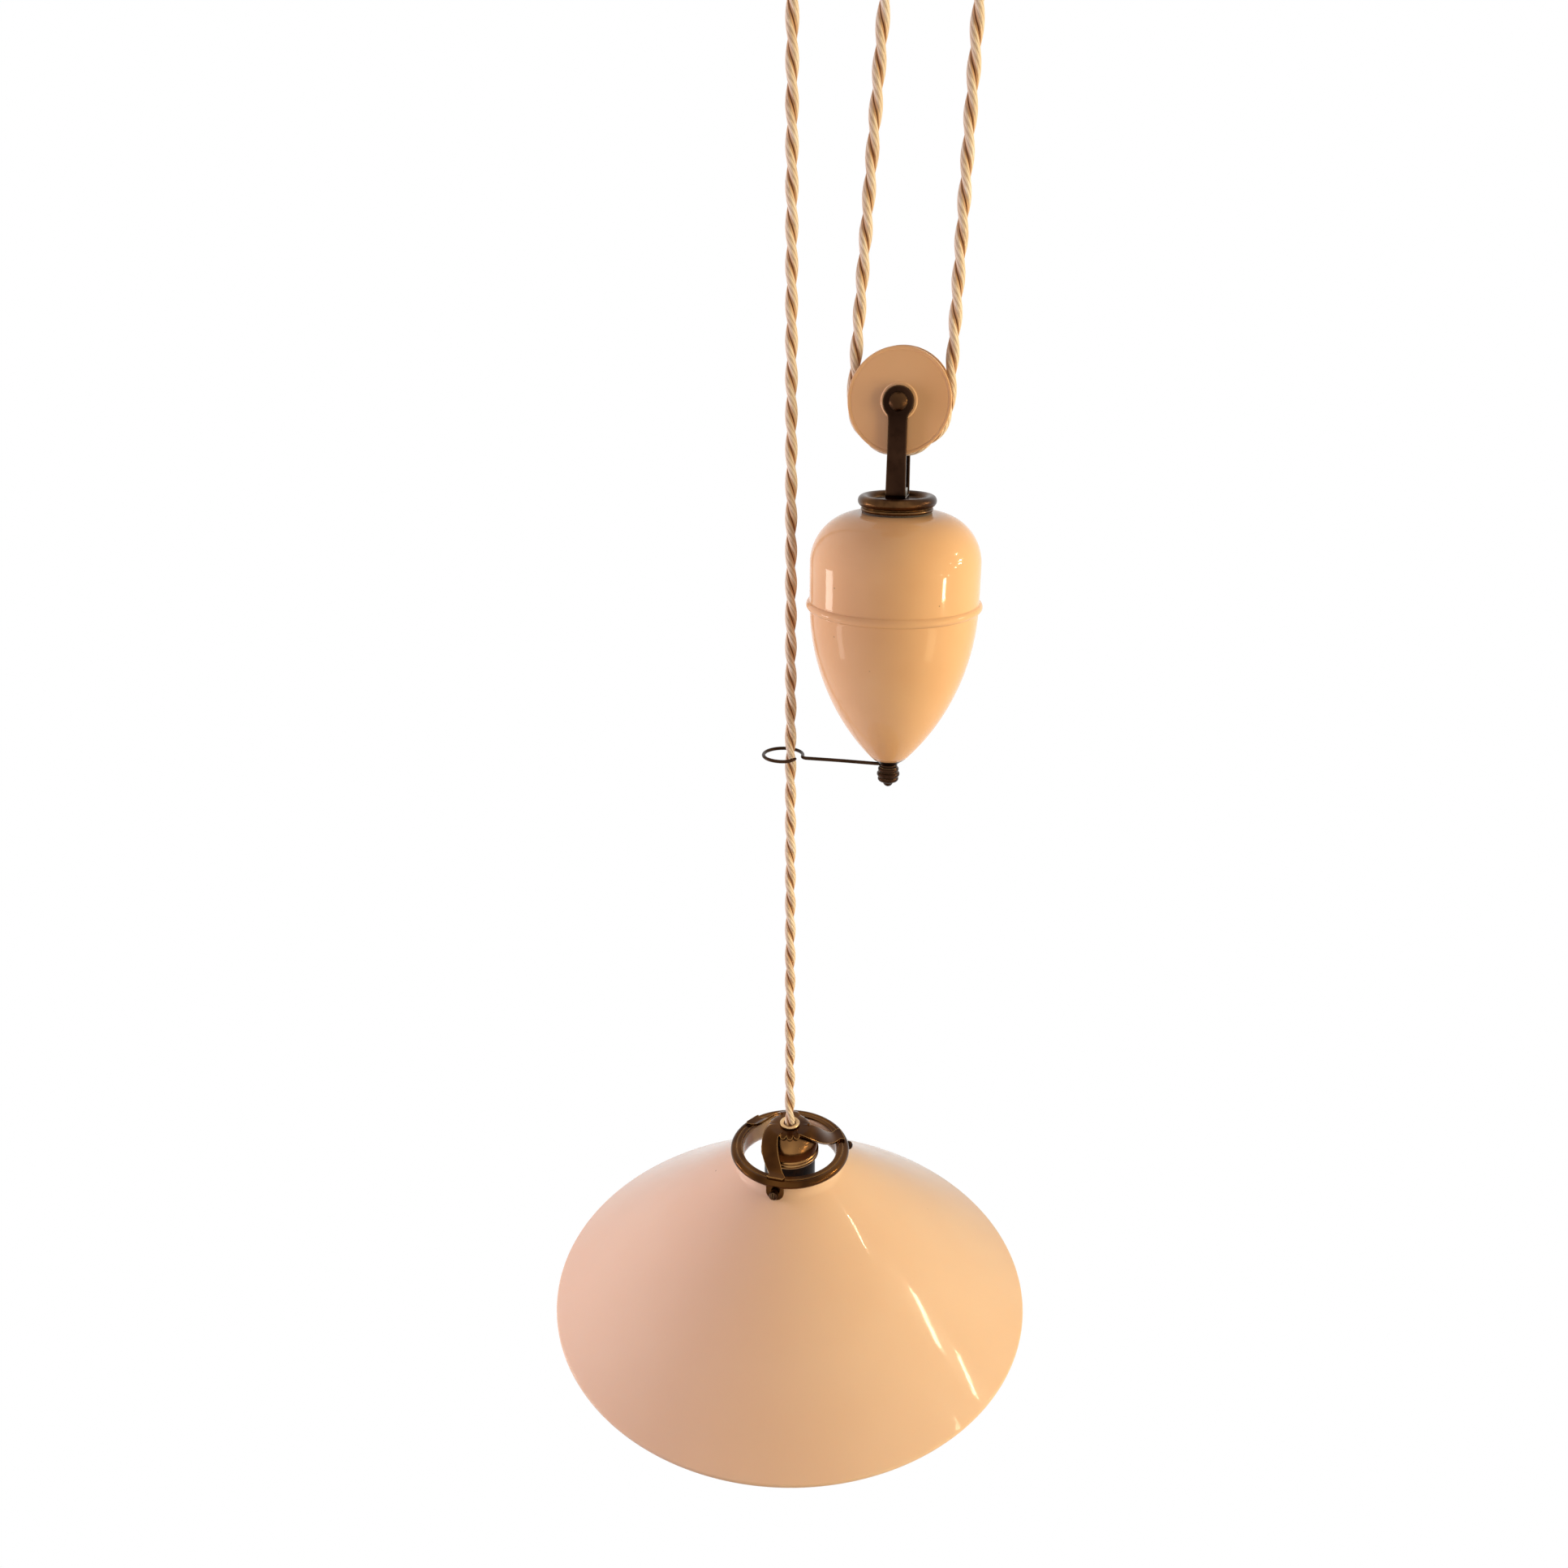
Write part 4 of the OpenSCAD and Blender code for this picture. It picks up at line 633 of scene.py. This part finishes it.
def urn_side(inset, foot, bead):
    """From the foot up the belly, over the bead and round the shoulder to the flat top."""
    start = math.degrees(math.asin((foot - BEAD_Z - BELLY_LIFT) / (belly - inset)))
    side = arc(URN_R - belly, BEAD_Z + BELLY_LIFT, belly - inset, start, 0, 1.2)
    if bead:
        side = [p for p in side if p[1] < BEAD_Z - 3.2]
        drops = (0.3, 0.8, 1.3, 1.7, 2.0, 2.149, 2.4, 2.7, BEAD_ROOT)
        side += [(URN_R + bead_out(d), BEAD_Z - d, 0) for d in reversed(drops)]
        side += [(URN_R + bead_out(d), BEAD_Z + d, 0) for d in drops]
    return side + arc(URN_R - SHOULDER, URN_TOP - SHOULDER, SHOULDER - inset, 0, 90, 4)


hollow = urn_side(WALL, URN_FOOT + URN_FLOOR, False)
urn = ([(ROD_BORE, URN_FOOT, 0.3)] + urn_side(0, URN_FOOT, True)
       + [(URN_MOUTH, URN_TOP, 0.5), (URN_MOUTH, URN_TOP - WALL, 0.3)] + list(reversed(hollow))
       + [(ROD_BORE, URN_FOOT + URN_FLOOR, 0.3)])
turned("weight_body", urn, cream_ware, "weight", "cream_porcelain", ["weight_body"], x=WEIGHT[0], turns=192,
       radius=0.6)

iron, tree = new_material("cast_iron")
where = place(tree)
grain = noise(tree, where, 380, 6, 0.7)
shaded(tree, {"Base Color": ramp(tree, grain, (0.3, (0.07, 0.065, 0.06)), (0.7, (0.17, 0.15, 0.14))),
              "Metallic": 0.8, "Roughness": ramp(tree, grain, (0.3, 0.5), (0.7, 0.75))}, grain, 0.6, 0.0006)
dress(iron, "weight_ballast")
wool, tree = new_material("brown_felt")
where = place(tree)
fibre = noise(tree, where, 1400, 5, 0.7, 1.5)
shaded(tree, {"Base Color": ramp(tree, fibre, (0.3, (0.030, 0.024, 0.017)), (0.7, (0.085, 0.070, 0.050))),
              "Roughness": 0.95, "Sheen Weight": 0.5}, fibre, 0.8, 0.0004)
dress(wool, "cap_felt")


# ---- Finial and guide wire ----------------------------------------------------------------
# A brass cup closes the foot of the urn and a nut turned like a beehive holds it. Between them
# sits the eye of a bent wire, whose loop keeps the lamp's cord beside the counterweight.
cup = [(ROD_BORE, -426.9), (4.9, -426.9, 0.4), (6.2, -425.6, 1.5), (7.9, -424.5, 0.5), (8.5, -423.95, 0.2),
       (8.5, URN_FOOT, 0.15), (ROD_BORE, URN_FOOT)]
turned("finial_cup", cup, black_brass, "weight", "antique_brass", ["finial_cup"], x=WEIGHT[0], turns=96)
hive = ([(ROD_BORE, -428.7, 0), (4.6, -428.7, 0.3)] + arc(3.85, -430.15, 1.45, 60, -62, 12)
        + arc(4.35, -432.79, 1.45, 62, -62, 12) + arc(3.85, -435.3, 1.45, 62, -50, 12)
        + [(3.1, -437.2, 0.5), (2.7, -437.4, 0.3)] + arc(0, -437.1, 2.6, -10, -90, 10)
        + [(0, -435.7, 0), (ROD_BORE, -435.7, 0)])
turned("finial_nut", hive, black_brass, "weight", "antique_brass", ["finial_nut"], x=WEIGHT[0], turns=96)

WIRE_Z, WIRE_R, EYE_R, ARM_END, TURN_R, LOOP_X, LOOP_R = -427.8, 0.9, 3.6, -31.25, 2.5, -44.0, 10.25


def wire_bend(x, y, radius, angles, lift=0.0):
    """Points of the wire on a level arc; the last ones rise out of it where lift is given."""
    return [Vector((x + radius * math.cos(math.radians(a)), y + radius * math.sin(math.radians(a)),
                    WIRE_Z + lift * max(0, (a - 285) / 40) ** 2)) for a in angles]


eye = wire_bend(WEIGHT[0], 0, EYE_R, range(-150, 171, 8))
arm = [Vector((x, 0.25 * math.sin((x - ARM_END) * 0.11) * (1 if x < 7 else 0), WIRE_Z))
       for x in (7.6, 5, 0, -5, -10, -15, -20, -25, -29)]
turn = wire_bend(ARM_END, TURN_R, TURN_R, range(-90, -181, -15))
loop = wire_bend(LOOP_X, TURN_R, LOOP_R, range(4, 326, 6), lift=1.1)
wire = list(reversed(eye)) + evenly(arm + turn + loop, 1.0)
ends = [WIRE_R] * (len(wire) - 2) + [0.78, 0.5]
upright = [Vector((0, 0, 1))] * len(wire)
verts, faces, _ = joined([bar(wire[:len(eye)], WIRE_R, 16, upright),
                          bar(wire[len(eye):], ends[len(eye):], 16, upright)])
piece("guide_wire", verts, faces, black_brass, "weight", "antique_brass", ["guide_wire"])


# ---- Cord entry ---------------------------------------------------------------------------
# A low turned eyelet leads the cord into the lamp. It screws on a nipple, which a lock nut draws
# up under the crown, so that nipple, dome and gallery are one.
CROWN_Z = 14.5                      # top of the crown over the top of the gallery
bush = [(4.3, CROWN_Z, 0), (5.2, CROWN_Z, 0.1), (5.85, 14.9, 0.4), (5.85, 15.9, 0.6), (5.1, 16.5, 0.5),
        (4.5, 16.45, 0.4), (3.6, 15.9, 0.5), (3.3, 15.3, 0), (4.3, 15.25, 0)]
ivory_brass = aged_brass("ivory_brass", (0.46, 0.27, 0.12), (0.80, 0.52, 0.26), (0.95, 0.72, 0.42), 0.6,
                         (0.2, 0.36))
turned("cord_bush", bush, ivory_brass, "lamp", "polished_brass", ["cord_bush"], x=LAMP_X, z=LAMP_Z, turns=96)
dress(bright_brass, "holder_nipple", "holder_locknut")


# ---- Gallery ------------------------------------------------------------------------------
# The gallery that carries the glass: a spun ring with a full roll and three tabs for the shade
# screws, and soldered on its flange a stamped spider with a scalloped crown and three swept arms.
ARMS, ARM_ANGLE, METAL, ROLL_R = 3, 27, 1.5, 32.7       # the first arm's end, the sheet, the roll's middle
TAB_IN, TAB_FOOT, TAB_HALF = 32.6, -7.8, 5.2            # a tab's inner face, its end and half its width
OPENING, FLANGE, SKIRT_R, SKIRT_FOOT = 28.5, 1.4, 31.4, -5.2


def strip(rings):
    """A closed strip through rings of (middle, across, up, half width, half thickness)."""
    verts, points = [], 4                               # four points to each corner of the strip
    for middle, across, up_way, wide, thick in rings:
        verts += [middle + across * x + up_way * y
                  for x, y in flat_section(wide, thick, min(0.5, wide), min(0.42, thick * 0.6), points)]
    faces = skin(len(rings), 4 * points)
    return verts, faces, [(0, 0)] * sum(len(face) for face in faces)


def screw_tab(turned_by):
    """The tab under the roll that holds a screw, bent down out of the skirt and rounded at its foot."""
    out = Vector((math.cos(math.radians(turned_by)), math.sin(math.radians(turned_by)), 0))
    across, rings = Vector((0, 0, 1)).cross(out), []
    base = Vector((LAMP_X, 0, LAMP_Z)) + out * (TAB_IN + METAL / 2)
    for z in (-2.2, -3.2, -4.2, -5.2, -6.2, -7.2, TAB_FOOT):
        rings.append((base + Vector((0, 0, z)), across, out, TAB_HALF, METAL / 2))
    for i in range(1, 15):
        a = math.pi / 2 * i / 14.4
        rings.append((base + Vector((0, 0, TAB_FOOT - TAB_HALF * math.sin(a))), across, out,
                      TAB_HALF * math.cos(a), METAL / 2 - 0.3 * max(0, (i - 11) / 3) ** 2))
    return strip(rings)


ring = ([(OPENING, -FLANGE, 0.3), (OPENING, 0.0, 0.45), (31.0, 0.0, 0.3), (31.5, -0.35, 0.3)]
        + arc(ROLL_R, -2.3, 2.3, 118, -72, 8) + [(32.95, -4.75, 0.1), (33.35, -4.45, 0)]
        + arc(32.8, -4.5, 0.7, 0, -90, 20) + [(SKIRT_R, SKIRT_FOOT, 0.3), (SKIRT_R, -FLANGE, 0)])
ring_brass = aged_brass("ring_brass", (0.034, 0.012, 0.004), (0.10, 0.038, 0.009), (0.62, 0.32, 0.10), 0.28,
                        (0.14, 0.26), 0.1)
turned("gallery_ring", ring, ring_brass, "lamp", "antique_brass", ["gallery_ring"], x=LAMP_X, z=LAMP_Z,
       turns=192, radius=0.2)
tabs, faces, _ = joined([screw_tab(ARM_ANGLE + 360 / ARMS * k) for k in range(ARMS)])
piece("gallery_tabs", tabs, faces, ring_brass, "lamp", "antique_brass", ["gallery_ring"])

CROWN_ROWS, CROWN_R, LOBE, DROOP = (4.4, 6.0, 8.0), 10.5, 2.1, 0.13    # its rows, radius, scallops and curl
ROOT_R, BEND_R, LAND_R = 6.1, 11.5, 28.5                # where an arm starts, leaves the level and lands
SWIRL, ARM_SPREAD = 50, 29                              # how far an arm swings round, and half its root
SCALLOPS = 360 / ARMS - 2 * ARM_SPREAD                  # degrees that the scallops between two arms take
ACROSS, ALONG, ROUND = 20, 55, 96                       # steps of half an arm, its length and the scallops


def smooth(t):
    """From 0 to 1 along an S that starts and ends level."""
    t = min(1, max(0, t))
    return t * t * (3 - 2 * t)


def top_of_spider(r):
    """The form that the spider is pressed over: level, down in an S, and level on the flange."""
    fall = smooth((r - BEND_R) / (LAND_R - BEND_R))
    return CROWN_Z * (1 - fall) + METAL * fall


def arm_middle(t, turned_by):
    """The middle of an arm seen from above, from its root at 0 to its end on the roll at 1."""
    r = ROOT_R + (ROLL_R - ROOT_R) * t
    a = math.radians(turned_by - SWIRL * (1 - smooth(t)) ** 1.2)
    return Vector((r * math.cos(a), r * math.sin(a)))


def arm_half(t):
    """Half the width of an arm: broad at its root, slender where it falls and spread at its foot."""
    return (4.9 - 1.1 * smooth((t - 0.3) / 0.4) + 1.4 * max(0, 1 - 2.2 * t) ** 2
            + 1.5 * smooth((t - 0.82) / 0.16) - 1.3 * max(0, (t - 0.95) / 0.05) ** 3)


def spider_columns():
    """Rows of points outwards over the whole spider, one column after another round the crown."""
    first_t, columns = (CROWN_R - ROOT_R) / (ROLL_R - ROOT_R), []
    for number in range(ARMS):
        turned_by = ARM_ANGLE + 360 / ARMS * number
        start = arm_middle(first_t, turned_by)
        axis = math.degrees(math.atan2(start.y, start.x))
        for k in range(2 * ACROSS + 1):                 # an arm, from its right edge to its left one
            s = k / ACROSS - 1
            angle = math.radians(axis + ARM_SPREAD * s)
            rim = Vector((math.cos(angle), math.sin(angle)))
            column = [(*(rim * r), CROWN_Z) for r in (*CROWN_ROWS, CROWN_R)]
            for i in range(1, ALONG + 1):
                t = first_t + (1 - first_t) * i / ALONG
                ahead = (arm_middle(t + 0.01, turned_by) - arm_middle(t - 0.01, turned_by)).normalized()
                foot = arm_middle(t, turned_by) + Vector((-ahead.y, ahead.x)) * s * arm_half(t)
                foot = (rim * (CROWN_R + 0.45 * i)).lerp(foot, smooth(i / 7))
                column.append((*foot, top_of_spider(foot.length)))
            columns.append(column)
        for k in range(1, ROUND):                       # three scallops, curled down at their tips
            share = k / ROUND
            lobe = abs(2 * ((share * 3) % 1) - 1)
            angle = math.radians(axis + ARM_SPREAD + SCALLOPS * share)
            corner = min(share, 1 - share)
            edge = CROWN_R - 0.3 * smooth(corner * 20) + (LOBE + 0.3) * math.sqrt(1 - lobe ** 2)
            curl = smooth(corner * 12)
            column = [(r * math.cos(angle), r * math.sin(angle), CROWN_Z) for r in CROWN_ROWS]
            for r in [CROWN_R + (edge - CROWN_R) * f for f in (0, 0.3, 0.55, 0.8, 1)]:
                column.append((r * math.cos(angle), r * math.sin(angle),
                               CROWN_Z - curl * DROOP * max(0, r - 9.0) ** 2))
            columns.append(column)
    return columns


columns, verts, faces, at = spider_columns(), [], [], []        # at: where each column's points start
for column in columns:
    at.append(len(verts))
    verts += [(LAMP_X + x, y, LAMP_Z + z) for x, y, z in column]
for k, column in enumerate(columns):
    k2 = (k + 1) % len(columns)
    for i in range(min(len(column), len(columns[k2])) - 1):
        if i < len(CROWN_ROWS) or len(column) == len(columns[k2]):
            faces.append((at[k] + i, at[k] + i + 1, at[k2] + i + 1, at[k2] + i))
spider = piece("gallery_spider", verts, faces, ring_brass, "lamp", "antique_brass", ["gallery_spider"],
               even=False)
sheet = spider.modifiers.new("sheet", "SOLIDIFY")
sheet.thickness, sheet.offset = (METAL - 0.02) / 1000, -1
edge = spider.modifiers.new("broken_edges", "BEVEL")
edge.width, edge.segments, edge.limit_method, edge.angle_limit = 0.0004, 3, "ANGLE", math.radians(50)
spider.modifiers.new("even", "WEIGHTED_NORMAL")
dress(black_brass, "shade_screw_1", "shade_screw_2", "shade_screw_3")


# ---- Shade --------------------------------------------------------------------------------
# Hand blown white opal glass: an upright neck with a lip for the gallery, a hollow bend, a wide
# cone and a fire polished rim. The gloss is slightly wavy, and a few small specks show.
opal, tree = new_material("opal_glass")
where = place(tree)
body = ramp(tree, noise(tree, where, 7, 3, 0.5), (0.3, (0.79, 0.575, 0.42)), (0.7, (0.83, 0.625, 0.47)))
body = specked(tree, where, body, 95.0, (0.27, 0.17, 0.12), (0.96, 0.65), (0.03, 0.07))
waves = maths(tree, "MULTIPLY_ADD", noise(tree, where, 300, 2, 0.5), 0.02, noise(tree, where, 11, 2, 0.4))
gloss = ramp(tree, noise(tree, where, 22, 4, 0.6), (0.3, 0.12), (0.75, 0.2))
shaded(tree, {"Base Color": body, "Roughness": gloss, "Specular IOR Level": 0.04, "Coat Weight": 0.15,
              "Coat Roughness": 0.03, "Subsurface Weight": 0.3, "Subsurface Radius": (1.0, 0.75, 0.55),
              "Subsurface Scale": 0.006}, waves, 0.12, 0.002)
BEND_AT, HOLLOW, GLASS = (36.5, -9.0), 6.0, 3.0         # middle and radius of the bend, and the wall
CONE_FOOT, RIM_AT, RIM_ROUND = (141.4, -102.9), (141.12, -102.66), 1.72
NECK_IN, LIP_R, LIP_TOP = 27.5, 31.1, -1.7
away = Vector(CONE_FOOT) - Vector(BEND_AT)
slope = math.degrees(math.atan2(away[1], away[0]) - math.acos((HOLLOW + GLASS / 2) / away.length)) + 360
cone_out = arc(*BEND_AT, HOLLOW, 180, slope, 6)
cone_in = arc(*BEND_AT, HOLLOW + GLASS, slope, 180, 6)
rim = arc(*RIM_AT, RIM_ROUND, slope - 170, slope - 370, 8)
shade = ([(NECK_IN, LIP_TOP, 0.8), (LIP_R, LIP_TOP, 0.9), (LIP_R, -4.1, 0.4), (30.5, -4.7, 0.4)]
         + cone_out + rim + cone_in)
turned("shade", shade, opal, "lamp", "opal_glass", ["shade"], x=LAMP_X, z=LAMP_Z, turns=256)


# ---- Lamp holder --------------------------------------------------------------------------
# A bayonet holder: a brass dome over two rolled beads, a dark moulded barrel, and inside it a
# porcelain insert with terminals and sprung contacts over the slotted brass socket.
gilt_brass = aged_brass("gilt_brass", (0.14, 0.064, 0.022), (0.34, 0.165, 0.054), (0.85, 0.55, 0.22), 0.25,
                        (0.18, 0.3), 0.12)
DOME_TOP, DOME_FLAT, DOME_R, DOME_SHEET, DOME_HOLE = 13.0, 7.03, 9.17, 1.0, 4.4
DOME_IN, SPRING, BEAD_AT, BEAD_R = DOME_TOP - DOME_SHEET, DOME_TOP - DOME_R, 15.8, 1.2
beads = arc(BEAD_AT, -1.64, BEAD_R, 60, -60, 15) + arc(BEAD_AT, -3.8, BEAD_R, 60, -70, 15)
dome = ([(DOME_HOLE, DOME_TOP, 0), (DOME_FLAT, DOME_TOP, 0)] + arc(DOME_FLAT, SPRING, DOME_R, 90, 0)
        + [(16.2, -0.3, 0.4)] + beads + [(15.6, -5.0, 0.2), (15.2, -5.0, 0.2)]
        + arc(DOME_FLAT, SPRING, DOME_R - DOME_SHEET, 0, 90)
        + [(DOME_FLAT, DOME_IN, 0), (DOME_HOLE, DOME_IN, 0.2)])
turned("holder_dome", dome, gilt_brass, "lamp", "antique_brass", ["holder_dome"], x=LAMP_X, z=LAMP_Z)
moulded, tree = new_material("moulded_bakelite")
where = place(tree)
flow = noise(tree, where, 70, 5, 0.6, 2.0)
shaded(tree, {"Base Color": ramp(tree, flow, (0.35, (0.012, 0.006, 0.004)), (0.7, (0.035, 0.016, 0.009))),
              "Roughness": ramp(tree, flow, (0.3, 0.25), (0.7, 0.42)), "Specular IOR Level": 0.04},
       noise(tree, where, 800, 3), 0.15, 0.0002)
BARREL_IN, BARREL_R, BARREL_TOP, BARREL_FOOT = 13.4, 15.0, -2.0, -39.0
barrel = [(BARREL_IN, BARREL_TOP, 0.3), (BARREL_R, BARREL_TOP, 0.3), (BARREL_R, -35.5, 0.3),
          (14.7, -36.2, 0.2), (BARREL_R, -36.9, 0.3), (BARREL_R, BARREL_FOOT, 0.4),
          (BARREL_IN, BARREL_FOOT, 0.3)]
turned("holder_barrel", barrel, moulded, "lamp", "dark_bakelite", ["holder_barrel"], x=LAMP_X, z=LAMP_Z,
       turns=96)
dress(moulded, "holder_ring")
dress(white_ware, "holder_insert")
dress(bright_brass, "holder_terminals", "holder_socket", "contact_pins")
